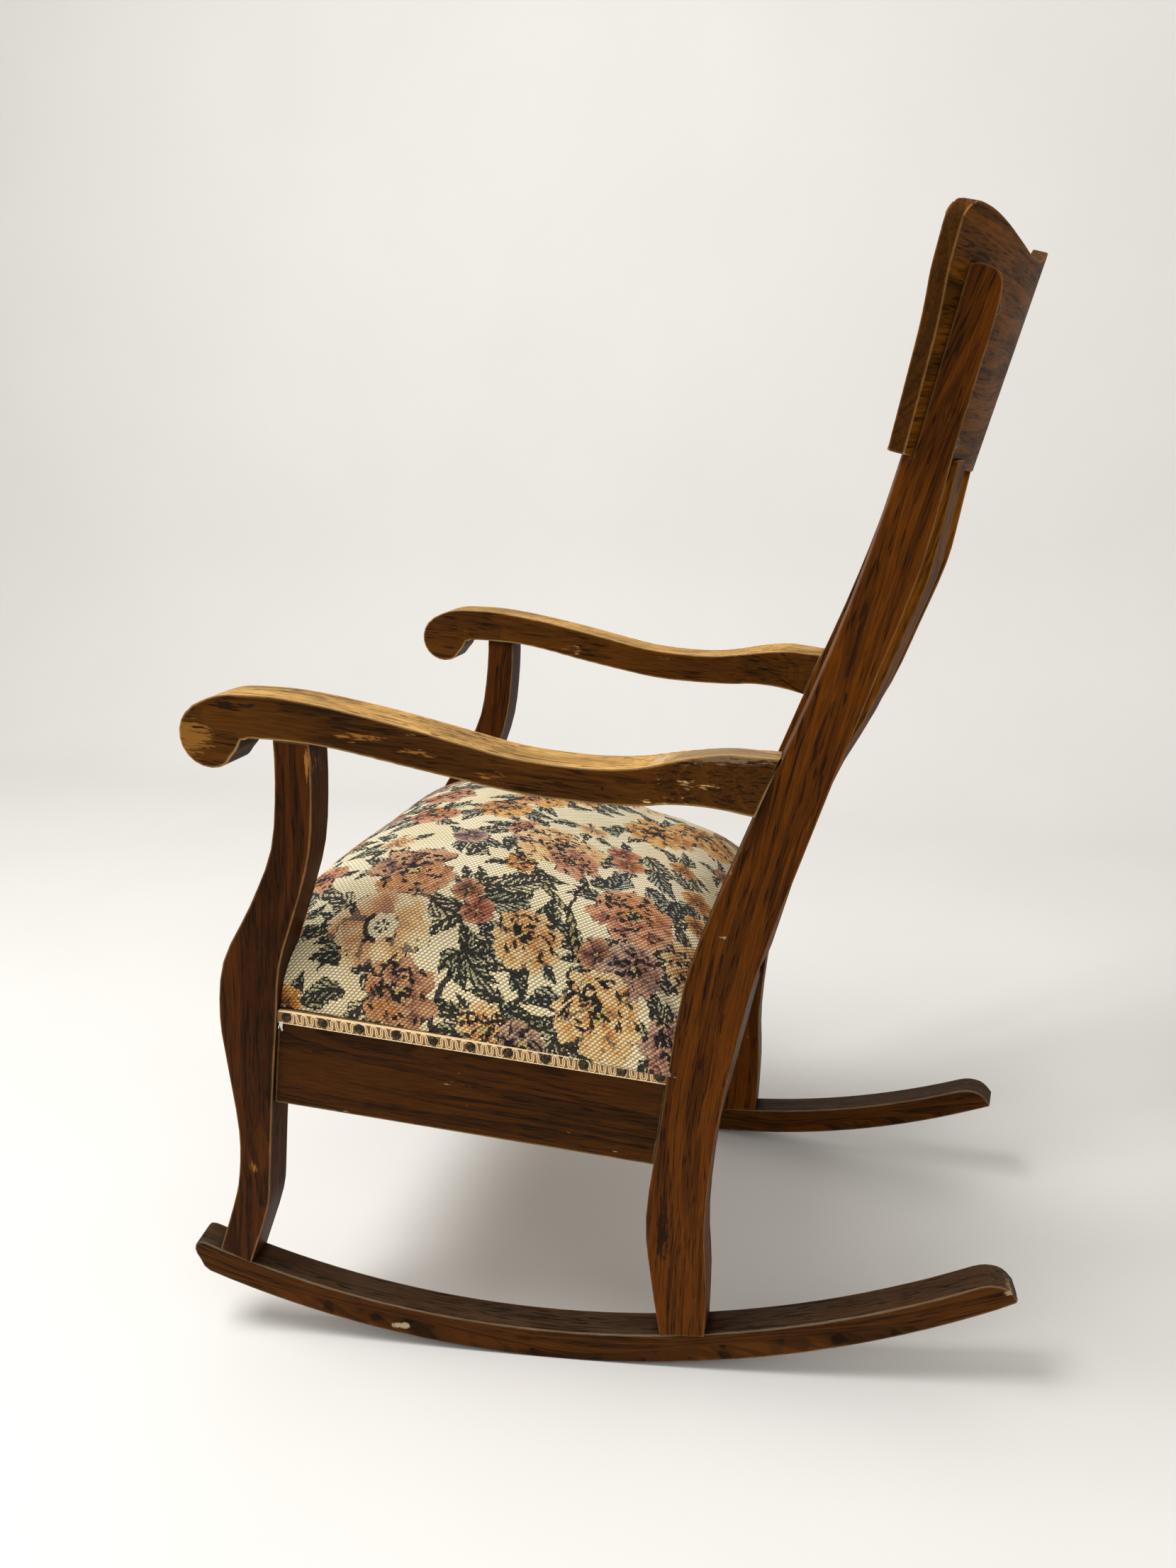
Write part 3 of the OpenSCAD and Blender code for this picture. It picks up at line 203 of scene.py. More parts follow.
class Sketch:
    """Writes the nodes of one shader tree."""

    def __init__(self, tree: Tree) -> None:
        """Keeps the tree that is written to."""
        self.tree = tree

    def feed(self, socket: bpy.types.NodeSocket, value: object) -> None:
        """Links an input to a wire, or sets it to a plain value.

        Args:
            socket: The input.
            value: A wire, a number, a vector or a colour.
        """
        if isinstance(value, Wire):
            self.tree.links.new(value.socket, socket)
        else:
            socket.default_value = (*value[:3], 1.0) if socket.type == "RGBA" else value

    def node(self, kind: str, output: int | str, feeds: dict[int | str, object],
             **settings: object) -> Wire:
        """Adds a node.

        Args:
            kind: Its type without the ShaderNode prefix.
            output: The output that is wanted.
            feeds: What its inputs get, by number or name.
            **settings: Its properties.

        Returns:
            That output.
        """
        node = self.tree.nodes.new("ShaderNode" + kind)
        for name, value in settings.items():
            setattr(node, name, value)
        for name, value in feeds.items():
            self.feed(node.inputs[name], value)
        return Wire(self, node.outputs[output])

    def number(self, operation: str, first: object, second: object = 0.0) -> Wire:
        """Works on two numbers."""
        return self.node("Math", 0, {0: first, 1: second}, operation=operation)

    def vector(self, operation: str, first: object, second: object = (0.0, 0.0, 0.0),
               output: str = "Vector") -> Wire:
        """Works on two vectors."""
        return self.node("VectorMath", output, {0: first, 1: second}, operation=operation)

    def ramp(self, value: Wire, low: float, high: float, start: float = 0.0,
             end: float = 1.0) -> Wire:
        """Maps the range from low to high smoothly onto the one from start to end."""
        feeds = dict(enumerate((value, low, high, start, end)))
        return self.node("MapRange", 0, feeds, interpolation_type="SMOOTHSTEP")

    def blend(self, share: object, first: object, second: object, kind: str = "MIX") -> Wire:
        """Mixes a share of the second colour into the first."""
        feeds = {0: share, 6: first, 7: second}
        return self.node("Mix", 2, feeds, data_type="RGBA", blend_type=kind)

    def noise(self, place: Wire, along: float, beside: float, detail: float = 2.0,
              rough: float = 0.5) -> Wire:
        """Adds a cloudy noise.

        Args:
            place: Where it is read, in metres.
            along: Its fineness along the first axis, per metre.
            beside: Its fineness along the others.
            detail: How many finer layers it has.
            rough: How strong they are.

        Returns:
            The noise, from 0 to 1.
        """
        where = self.vector("MULTIPLY", place, (along, beside, beside))
        feeds = {"Vector": where, "Scale": 1.0, "Detail": detail, "Roughness": rough}
        return self.node("TexNoise", 0, feeds)

    def stored(self, name: str, output: str = "Vector") -> Wire:
        """Reads an attribute of the mesh."""
        return self.node("Attribute", output, {}, attribute_name=name)

    def where(self) -> Wire:
        """Reads the place in the object's own frame, which is the row frame."""
        return self.node("TexCoord", "Object", {})

    def parts(self, place: Wire) -> list[Wire]:
        """Splits a vector into its three numbers."""
        node = self.node("SeparateXYZ", 0, {0: place}).socket.node
        return [Wire(self, socket) for socket in node.outputs]

    def placed(self, group: Tree, **inputs: object) -> dict[str, Wire]:
        """Places a node group and hands out its outputs by name."""
        node = self.node("Group", 0, inputs, node_tree=group).socket.node
        return {socket.name: Wire(self, socket) for socket in node.outputs}

    def bump(self, height: Wire, strength: float, distance: float) -> Wire:
        """Turns a height into a normal."""
        return self.node("Bump", 0, {"Height": height, "Strength": strength, "Distance": distance})


class Paint(Sketch):
    """A material with its Principled shader."""

    def __init__(self, name: str) -> None:
        """Makes an empty material of that name."""
        self.material = bpy.data.materials.new(name)
        self.material.use_nodes = True
        super().__init__(self.material.node_tree)

    def finish(self, **values: object) -> Material:
        """Feeds the shader.

        Args:
            **values: What its sockets get, with spaces in their names written as underscores.

        Returns:
            The material.
        """
        for name, value in values.items():
            self.feed(self.tree.nodes["Principled BSDF"].inputs[name.replace("_", " ")], value)
        return self.material


class Effect(Sketch):
    """A shader node group while it is written."""

    def __init__(self, name: str, outputs: str, **inputs: float | None) -> None:
        """Makes the group with its sockets.

        Args:
            name: Its name.
            outputs: Names of the numbers that come out.
            **inputs: The default of each number that goes in, or None for a vector.
        """
        super().__init__(bpy.data.node_groups.new(name, "ShaderNodeTree"))
        for label, default in inputs.items():
            kind = "NodeSocketVector" if default is None else "NodeSocketFloat"
            socket = self.tree.interface.new_socket(label, in_out="INPUT", socket_type=kind)
            if default is not None:
                socket.default_value = default
        for label in outputs.split():
            self.tree.interface.new_socket(label, in_out="OUTPUT", socket_type="NodeSocketFloat")
        entry = self.tree.nodes.new("NodeGroupInput")
        self.given = {socket.name: Wire(self, socket) for socket in entry.outputs}

    def done(self, *results: Wire) -> Tree:
        """Links the results to the outputs.

        Args:
            *results: One for each output.

        Returns:
            The group.
        """
        for socket, result in zip(self.tree.nodes.new("NodeGroupOutput").inputs, results):
            self.feed(socket, result)
        return self.tree


class Effects:
    """The effects that several materials share, each built once."""

    def __init__(self) -> None:
        """Builds every effect."""
        self.grain, self.edges = self.build_grain(), self.build_edge_wear_and_highlight()
        self.dust, self.spot = self.build_dust_and_sheen(), self.build_spot()
        self.grime, self.weave = self.build_shade_and_grime(), self.build_weave()

    @staticmethod
    def build_grain() -> Tree:
        """Builds the figure of oak: uneven rings round a heart beside the board, pores and fibres.

        Returns:
            The node group.
        """
        s = Effect("OakGrain", "Rings Pores Streaks Fibres Cloud",
                   Place=None, Pitch=0.004, Heart=0.03, Wander=0.02)
        place = s.given["Place"]
        along, across, through = s.parts(place)
        shift = (s.noise(place, 2.6, 8.0) - 0.5) * s.given["Wander"]
        side = across + shift * 2.0
        deep = through + s.given["Heart"] + shift
        ripple = (s.noise(place, 14.0, 60.0) - 0.5) * 0.004
        reach = s.number("SQRT", side * side + deep * deep) + ripple
        ring_place = s.node("CombineXYZ", 0, {0: reach / s.given["Pitch"], 1: along * 3.0})
        years = s.noise(ring_place, 1.0, 1.0, 2.0, 0.6)
        line = s.ramp(s.number("ABSOLUTE", years - 0.52), 0.0, 0.045, 1.0, 0.0)
        rings = s.ramp(years, 0.46, 0.62) * 0.6 + line * 0.4
        coarse = s.ramp(s.noise(place, 42.0, 560.0, 1.0), 0.55, 0.63)
        fine = s.ramp(s.noise(place, 26.0, 1300.0, 1.0), 0.52, 0.62)
        pores = s.number("MAXIMUM", coarse * (rings + 0.35), fine * 0.45)
        streaks = s.ramp(s.noise(place, 6.5, 170.0, 3.0, 0.6), 0.56, 0.68)
        return s.done(rings, pores, streaks, s.noise(place, 18.0, 420.0, 3.0, 0.6),
                      s.noise(place, 5.0, 20.0, 4.0, 0.62))

    @staticmethod
    def build_edge_wear_and_highlight() -> Tree:
        """Builds the rub marks along outer edges, pale as wear and as a painted highlight that the
        edges catch.

        Returns:
            The node group.
        """
        s = Effect("EdgeWear", "Mask", Place=None, Reach=0.003, Amount=0.5)
        rounded = s.node("Bevel", 0, {"Radius": s.given["Reach"]}, samples=6)
        normal = s.node("NewGeometry", "Normal", {})
        bend = 1.0 - s.vector("DOT_PRODUCT", rounded, normal, "Value")
        patch = s.noise(s.given["Place"], 35.0, 90.0, 4.0, 0.65)
        rub = bend * 2.6 + patch * 0.9 + s.given["Amount"]
        return s.done(s.ramp(rub, 1.12, 1.42) * s.ramp(bend, 0.02, 0.09))

    @staticmethod
    def build_dust_and_sheen() -> Tree:
        """Builds the film on faces that look up: settled dust, and a painted sheen of the light from
        above.

        Returns:
            The node group.
        """
        s = Effect("SettledDust", "Mask", Place=None, Amount=0.5)
        up = s.parts(s.node("NewGeometry", "Normal", {}))[2]
        patch = s.ramp(s.noise(s.given["Place"], 9.0, 28.0, 4.0, 0.6), 0.3, 0.7)
        return s.done(s.ramp(up, 0.55, 0.95) * (patch * 0.6 + 0.4) * s.given["Amount"])

    @staticmethod
    def build_spot() -> Tree:
        """Builds one broken patch at a given place.

        Returns:
            The node group.
        """
        s = Effect("Spot", "Mask", Place=None, Grain=None, Centre=None, Fineness=None, Fill=0.5)
        away = s.vector("SUBTRACT", s.given["Place"], s.given["Centre"])
        scaled = s.vector("MULTIPLY", away, s.given["Fineness"])
        near = 1.0 - s.vector("LENGTH", scaled, output="Value")
        grit = s.noise(s.given["Grain"], 70.0, 420.0, 3.0, 0.65)
        level = near * 0.5 + (grit + s.given["Fill"])
        return s.done(s.ramp(level, 0.98, 1.14) * s.ramp(near, 0.0, 0.25))

    @staticmethod
    def build_shade_and_grime() -> Tree:
        """Builds painted shade in joints and corners from ambient occlusion, together with the dark
        dirt that gathers there.

        Returns:
            The node group.
        """
        s = Effect("CornerGrime", "Mask", Reach=0.01)
        shade = s.node("AmbientOcclusion", "AO", {"Distance": s.given["Reach"]}, samples=6)
        return s.done(s.ramp(shade, 0.45, 0.95, 1.0, 0.0))

    @staticmethod
    def build_weave() -> Tree:
        """Builds plain threads in staggered rows.

        Returns:
            The node group.
        """
        s = Effect("Weave", "Thread Height",
                   Place=None, Column=0.002, Row=0.0017, Slant=0.3, Squash=1.0)
        along, down, _ = s.parts(s.given["Place"])
        column = along / s.given["Column"]
        inside = s.number("FRACT", column) - 0.5
        stagger = s.number("MODULO", s.number("FLOOR", column), 2.0) * 0.5
        row = down / s.given["Row"] + stagger + inside * s.given["Slant"]
        height = (s.number("FRACT", row) - 0.5) * s.given["Squash"]
        far = s.number("SQRT", s.number("POWER", inside, 2.0) + s.number("POWER", height, 2.0))
        return s.done(s.ramp(far, 0.27, 0.53, 1.0, 0.0), s.ramp(far, 0.0, 0.6, 1.0, 0.0))


@dataclass(frozen=True)
class Patch:
    """A patch of wear or stain at one place of the frame; one on the arm is partly painted shade."""

    centre: Triple
    reach: Triple
    tone: Colour
    fill: float = 0.15
    share: float = 0.8


@dataclass(frozen=True)
class OakFinish:
    """Stained oak as it looks on one kind of piece."""

    name: str
    light: Colour
    dark: Colour
    pore: Colour
    # Pale tone of rubbed wear, which along outer edges is also a painted highlight.
    wear_and_highlight: Colour = dye(176, 128, 74)
    # Film colour of upward faces: dust, and a painted sheen of the light from above.
    sheen_and_dust_film: Colour = dye(92, 84, 76)
    pitch: float = 0.0042
    heart: float = 0.03
    wander: float = 0.02
    edge: float = 0.25
    rub: float = 0.0
    dust: float = 0.0
    rough: float = 0.46
    gloss: float = 0.05
    figure: float = 0.42
    cloud: float = 0.95
    patches: tuple[Patch, ...] = ()

    def build(self, effects: Effects) -> Material:
        """Makes the material: bare figure, then one layer after another.

        Args:
            effects: The shared effects.

        Returns:
            The material.
        """
        p = Paint(self.name)
        place = p.stored("grain")
        grain = p.placed(effects.grain, Place=place, Pitch=self.pitch, Heart=self.heart,
                         Wander=self.wander)
        tone = grain["Rings"] * self.figure + grain["Cloud"] * self.cloud
        tone = tone + (0.95 - self.cloud) * 0.5 + grain["Fibres"] * 0.35
        colour = p.blend(p.ramp(tone, 0.5, 1.15), self.light, self.dark)
        # Upward faces: settled dust and a painted sheen from above.
        sheen_and_dust_film = p.placed(effects.dust, Place=place, Amount=self.dust)["Mask"]
        bald = p.noise(place, 16.0, 60.0, 4.0, 0.65) + grain["Fibres"] * 0.25
        layers = [(sheen_and_dust_film, self.sheen_and_dust_film), (grain["Streaks"] * 0.6, self.pore),
                  (grain["Pores"] * 0.85, self.pore),
                  (p.ramp(bald, 0.84 - self.rub, 0.9 - self.rub * 0.7), self.wear_and_highlight)]
        where = p.where()
        for mark in self.patches:
            mask = p.placed(effects.spot, Place=where, Grain=place, Centre=mark.centre,
                            Fineness=tuple(1.0 / r for r in mark.reach), Fill=mark.fill)["Mask"]
            layers.append((mask * mark.share, mark.tone))
        end_tone = tuple((d + q) / 2 for d, q in zip(self.dark, self.pore))
        # Pale outer edges: rubbed wear, and a painted highlight that the edges catch.
        edge = p.placed(effects.edges, Place=place, Reach=0.004, Amount=self.edge)["Mask"]
        # Painted shade in joints and corners, read from ambient occlusion, laid with their dirt.
        grime = p.placed(effects.grime, Reach=0.012)["Mask"]
        layers += [(p.stored("end", "Fac") * 0.72, end_tone), (edge * 0.85, self.wear_and_highlight),
                   (grime * 0.8, tuple(q * 0.6 for q in self.pore))]
        for share, tone in layers:
            colour = p.blend(share, colour, tone)
        dulled = p.number("MAXIMUM", edge, sheen_and_dust_film) * 0.18
        return p.finish(
            Base_Color=colour, Roughness=grain["Cloud"] * 0.2 + (self.rough - 0.08) + dulled,
            Specular_IOR_Level=self.gloss,
            Normal=p.bump(grain["Fibres"] * 0.3 - grain["Pores"], 0.4, 0.0004))


@dataclass
class OakPiece:
    """One board of the frame: which way its grain runs, how it bends and what finish it has."""

    node: str
    finish: str
    along: Triple
    face: Triple
    bend: tuple[int, int, float] = (1, 0, 0.0)

    def grain_places(self, points: np.ndarray, seed: int) -> np.ndarray:
        """Finds each point's place in the board that the piece was cut from.

        Args:
            points: Points in the row frame.
            seed: Moves this board to its own part of the tree.

        Returns:
            Places along, across and through the board, in metres.
        """
        along = np.array(self.along) / np.linalg.norm(self.along)
        face = np.array(self.face) / np.linalg.norm(self.face)
        straight = points - points.mean(0)
        moved, by, amount = self.bend
        straight[:, moved] -= amount * points[:, by] ** 2
        places = np.stack([straight @ along, straight @ np.cross(face, along), straight @ face], 1)
        rng = np.random.default_rng(seed)
        return places + rng.uniform((-9.0, -0.012, -0.008), (9.0, 0.012, 0.008))


@dataclass
class OakFrame:
    """The oak frame: every board with softened outer edges and its own grain."""

    arris: float = 0.0013
    weld: float = 0.00004
    tip_weld: float = 0.0009
    tip_angle: float = math.radians(100.0)
    tip_length: float = 0.025
    tip_round: float = 0.004
    flat: float = math.radians(0.5)
    sharp: float = math.radians(28.0)
    shortest: float = 0.0022
    end_gain: float = 3.0
    end_start: float = 1.6
    straight: float = math.cos(math.radians(14.0))
    crease: float = math.radians(38.0)

    @staticmethod
    def pieces() -> list[OakPiece]:
        """Lists the boards.

        Returns:
            Every board of the frame.
        """
        slat = ("back_slat", "back_oak", (0.0, 0.36, 1.0), (0.0, 1.0, -0.36))
        sideways, ahead = (1.0, 0.0, 0.0), (0.0, 1.0, 0.0)
        rows = []
        for hand, out in (("left_", 1.0), ("right_", -1.0)):
            rows += [(hand + name, *rest) for name, *rest in (
                ("rocker", "rocker_oak", (-0.115 * out, 1.0, 0.0), (1.0, 0.115 * out, 0.0),
                 (2, 1, 0.546)),
                ("front_post", "front_post_oak", (0.055 * out, 0.08, 1.0),
                 (1.0, 0.0, -0.055 * out)),
                ("back_post", "back_post_oak", (0.095 * out, 0.0, 1.0), (1.0, 0.0, -0.095 * out),
                 (1, 2, 0.19)),
                ("arm", "arm_oak", (0.0, 1.0, -0.08), sideways),
                ("seat_rail", "rail_oak", (-0.0785 * out, 1.0, -0.105), (1.0, 0.0785 * out, 0.0)),
                slat)]
        rows += [("centre_" + slat[0], *slat[1:]),
                 ("crest_rail", "back_oak", sideways, (0.0, 1.0, -0.27), (1, 0, -0.57)),
                 ("lower_back_rail", "back_oak", sideways, ahead, (1, 0, -0.57)),
                 ("front_seat_rail", "rail_oak", sideways, ahead),
                 ("rear_seat_rail", "rail_oak", sideways, ahead)]
        return [OakPiece(*row) for row in rows]

    @staticmethod
    def outward(shape: bmesh.types.BMesh, angle: float) -> list[bmesh.types.BMEdge]:
        """Lists the outward edges whose faces meet at more than an angle."""
        return [edge for edge in shape.edges if len(edge.link_faces) == 2 and edge.is_convex
                and edge.calc_face_angle(0.0) > angle]

    @staticmethod
    def rounded(shape: bmesh.types.BMesh, edges: list[bmesh.types.BMEdge], radius: float,
                segments: int, profile: float) -> None:
        """Rounds some edges of a shape over."""
        bmesh.ops.bevel(shape, geom=edges, offset=radius, offset_type="OFFSET", segments=segments,
                        profile=profile, affect="EDGES", clamp_overlap=False)

    def softened(self, source: Mesh, name: str) -> Mesh:
        """Copies a mesh with its outer edges rounded over.

        Args:
            source: The mesh to copy.
            name: The copy's name.

        Returns:
            The copy.
        """
        shape = bmesh.new()
        shape.from_mesh(source)
        pointed = "rocker" in name
        bmesh.ops.remove_doubles(shape, verts=shape.verts,
                                 dist=self.tip_weld if pointed else self.weld)
        bmesh.ops.dissolve_limit(shape, angle_limit=self.flat, verts=shape.verts,
                                 edges=shape.edges, use_dissolve_boundaries=False)
        if pointed:
            self.rounded(shape, [edge for edge in self.outward(shape, self.tip_angle)
                                 if edge.calc_length() > self.tip_length], self.tip_round, 4, 0.5)
        outer = self.outward(shape, self.sharp)
        self.rounded(shape, [edge for edge in outer if edge.calc_length() > self.shortest
                             or self.runs_on(edge, set(outer))], self.arris, 2, 0.6)
        shape.verts.index_update()
        points = np.array([tuple(vert.co) for vert in shape.verts])
        faces = [[vert.index for vert in face.verts] for face in shape.faces]
        shape.free()
        mesh = shaped(name, points, faces)
        mesh.validate()
        mesh.set_sharp_from_angle(angle=self.crease)
        return mesh

    def runs_on(self, edge: bmesh.types.BMEdge, outer: set[bmesh.types.BMEdge]) -> bool:
        """Tells whether a short edge is a link in a smooth run of outer edges.

        Args:
            edge: The short edge.
            outer: All outer edges.

        Returns:
            Whether an edge of nearly its own direction follows at both ends.
        """
        ahead = (edge.verts[1].co - edge.verts[0].co).normalized()
        for vert in edge.verts:
            others = [other for other in vert.link_edges if other in outer and other != edge]
            lines = [(other.verts[1].co - other.verts[0].co).normalized() for other in others]
            if len(others) != 1 or abs(lines[0].dot(ahead)) < self.straight:
                return False
        return True

    def build(self, nodes: Nodes, finishes: dict[str, Material]) -> None:
        """Builds every board in the place of its solid.

        Args:
            nodes: The CAD nodes.
            finishes: The oak materials by name.
        """
        for seed, board in enumerate(self.pieces()):
            mesh = self.softened(nodes[board.node].data, board.node + "_board")
            places = board.grain_places(vectors(mesh.vertices, "co"), seed)
            attach(mesh, "grain", "FLOAT_VECTOR", "POINT", places)
            along = np.array(board.along) / np.linalg.norm(board.along)
            facing = np.abs(vectors(mesh.polygons, "normal") @ along)
            end = facing * self.end_gain - self.end_start
            attach(mesh, "end", "FLOAT", "FACE", np.clip(end, 0.0, 1.0))
            piece = put(mesh, finishes[board.finish])
            piece.modifiers.new("even_shading", "WEIGHTED_NORMAL").keep_sharp = True
            stand_in(piece, "worn_oak" if board.finish == "arm_oak" else "walnut_oak", board.node)
            log.info("board %s: %d faces", board.node, len(mesh.polygons))


@dataclass(frozen=True)
class Cloud:
    """A smooth random field on a plane."""

    seed: int
    cells: int = 64

    def at(self, x: np.ndarray, y: np.ndarray) -> np.ndarray:
        """Reads the field.

        Args:
            x: First coordinate, in cells of the field.
            y: Second coordinate.

        Returns:
            Values from 0 to 1.
        """
        table = np.random.default_rng(self.seed).random((self.cells, self.cells))
        left, low = np.floor(x).astype(int), np.floor(y).astype(int)
        fx, fy = x - left, y - low
        fx, fy = fx * fx * (3 - 2 * fx), fy * fy * (3 - 2 * fy)
        corners = [table[(left + i) % self.cells, (low + j) % self.cells]
                   for i in (0, 1) for j in (0, 1)]
        return ((corners[0] * (1 - fy) + corners[1] * fy) * (1 - fx)
                + (corners[2] * (1 - fy) + corners[3] * fy) * fx)


class Bloom(Enum):
    """Kinds of flower, with each ring's share of the radius, count of petals and pointedness."""

    ROSE = ((1.0, 8, 0.0), (0.78, 6, 0.0), (0.54, 5, 0.0), (0.32, 4, 0.0))
    PEONY = ((1.0, 9, 0.0), (0.72, 7, 0.0), (0.44, 6, 0.0))
    STAR = ((1.0, 5, 0.0),)
    WINDOW = ((1.0, 6, 0.5), (0.8, 5, 0.3))
    SEEDS = ((1.0, 7, 0.2), (0.6, 5, 0.0))


class Tint(Enum):
    """Yarn colours of a flower: its heart, its body and its rim."""

    DUSTY = (dye(104, 56, 52), dye(182, 112, 94), dye(226, 180, 152))
    BROWN = (dye(104, 70, 66), dye(170, 122, 106), dye(216, 176, 148))
    AMBER = (dye(130, 82, 50), dye(216, 150, 78), dye(244, 206, 140))
    PEACH = (dye(178, 124, 96), dye(236, 186, 128), dye(250, 230, 190))
    PALE = (dye(196, 160, 140), dye(244, 206, 156), dye(254, 242, 214))
    PINK = (dye(112, 60, 58), dye(178, 112, 98), dye(222, 174, 150))
    MAUVE = (dye(92, 84, 98), dye(146, 128, 136), dye(212, 184, 172))


@dataclass(frozen=True)
class Flower:
    """A flower on the cloth: its place and radius in metres."""

    across: float
    along: float
    radius: float
    kind: Bloom
    tint: Tint


@dataclass(frozen=True)
class Leaf:
    """A leaf or a stroke on the cloth, from its foot to its tip."""

    across: float
    along: float
    turn: float
    length: float
    width: float


ROSE, PEONY, STAR, WINDOW, SEEDS = Bloom
DUSTY, BROWN, AMBER, PEACH, PALE, PINK, MAUVE = Tint
FLOWERS_MM = (
    (183, -80, 43, ROSE, BROWN), (256, -83, 50, WINDOW, PALE), (200, -21, 17, STAR, BROWN),
    (220, -6, 18, STAR, PINK), (66, -2, 27, PEONY, DUSTY), (78, 36, 48, PEONY, PEACH),
    (100, 54, 30, ROSE, DUSTY), (157, 129, 44, ROSE, DUSTY), (37, 92, 18, STAR, DUSTY),
    (60, 102, 19, STAR, DUSTY), (-58, 110, 42, PEONY, AMBER), (-112, 158, 45, ROSE, AMBER),
    (16, 154, 16, STAR, AMBER), (66, 180, 20, STAR, AMBER), (219, 108, 19, STAR, BROWN),
    (222, 145, 31, PEONY, MAUVE), (272, 122, 44, PEONY, PEACH), (229, 44, 34, PEONY, PEACH),
    (314, -52, 37, ROSE, BROWN), (322, 28, 28, PEONY, PEACH), (322, 62, 24, ROSE, MAUVE),
    (333, -154, 18, STAR, AMBER), (-30, -122, 33, ROSE, DUSTY), (48, -110, 30, PEONY, DUSTY),
    (15, -43, 32, PEONY, AMBER), (-40, -18, 31, ROSE, AMBER), (138, 10, 19, SEEDS, AMBER),
    (98, -190, 25, PEONY, AMBER), (186, -178, 30, ROSE, DUSTY), (186, 200, 37, PEONY, PEACH),
    (280, 192, 32, ROSE, MAUVE), (262, -172, 21, STAR, PINK))
LEAVES_MM = (
    (188, -12, 2.28, 72, 30), (203, -8, 2.10, 52, 32), (262, -4, 0.30, 36, 18),
    (262, -4, 1.15, 40, 22), (262, -4, 2.10, 34, 17), (262, -4, -0.60, 32, 15),
    (262, -4, 3.60, 30, 15), (243, -120, -2.10, 40, 22), (276, -116, -2.40, 44, 26),
    (290, -104, -1.50, 38, 20), (216, -52, 1.30, 38, 24), (300, -78, 1.2, 28, 18),
    (288, -66, 0.5, 30, 18), (300, -30, -0.4, 30, 18), (18, 112, 0.9, 54, 24),
    (50, 130, 0.6, 56, 24), (130, 80, 2.6, 38, 28), (122, 98, 3.3, 38, 28),
    (96, 128, 1.2, 44, 26), (96, 160, 0.2, 44, 26), (198, 60, 0.4, 20, 11),
    (198, 60, 1.6, 20, 11), (198, 60, -0.9, 18, 10), (262, 40, -1.2, 30, 14),
    (262, 40, 0.9, 26, 14), (296, 42, 1.7, 36, 15), (294, 36, -1.6, 30, 14),
    (300, 90, 0.2, 38, 24), (306, 100, 1.5, 32, 20), (170, 168, 1.2, 38, 22),
    (196, 160, 0.6, 38, 20), (318, -100, -1.2, 46, 22), (312, -140, -0.4, 30, 16),
    (147, -128, -1.4, 36, 20), (150, -40, 2.9, 34, 18), (120, -60, 2.2, 36, 20))
STEMS_MM = (
    (((152, 30), (168, 50), (182, 72), (205, 82), (230, 92)), 8, True),
    (((129, 76), (150, 70), (180, 72)), 3, False),
    (((267, -7), (285, -12), (318, -22), (338, -20)), 5, False))


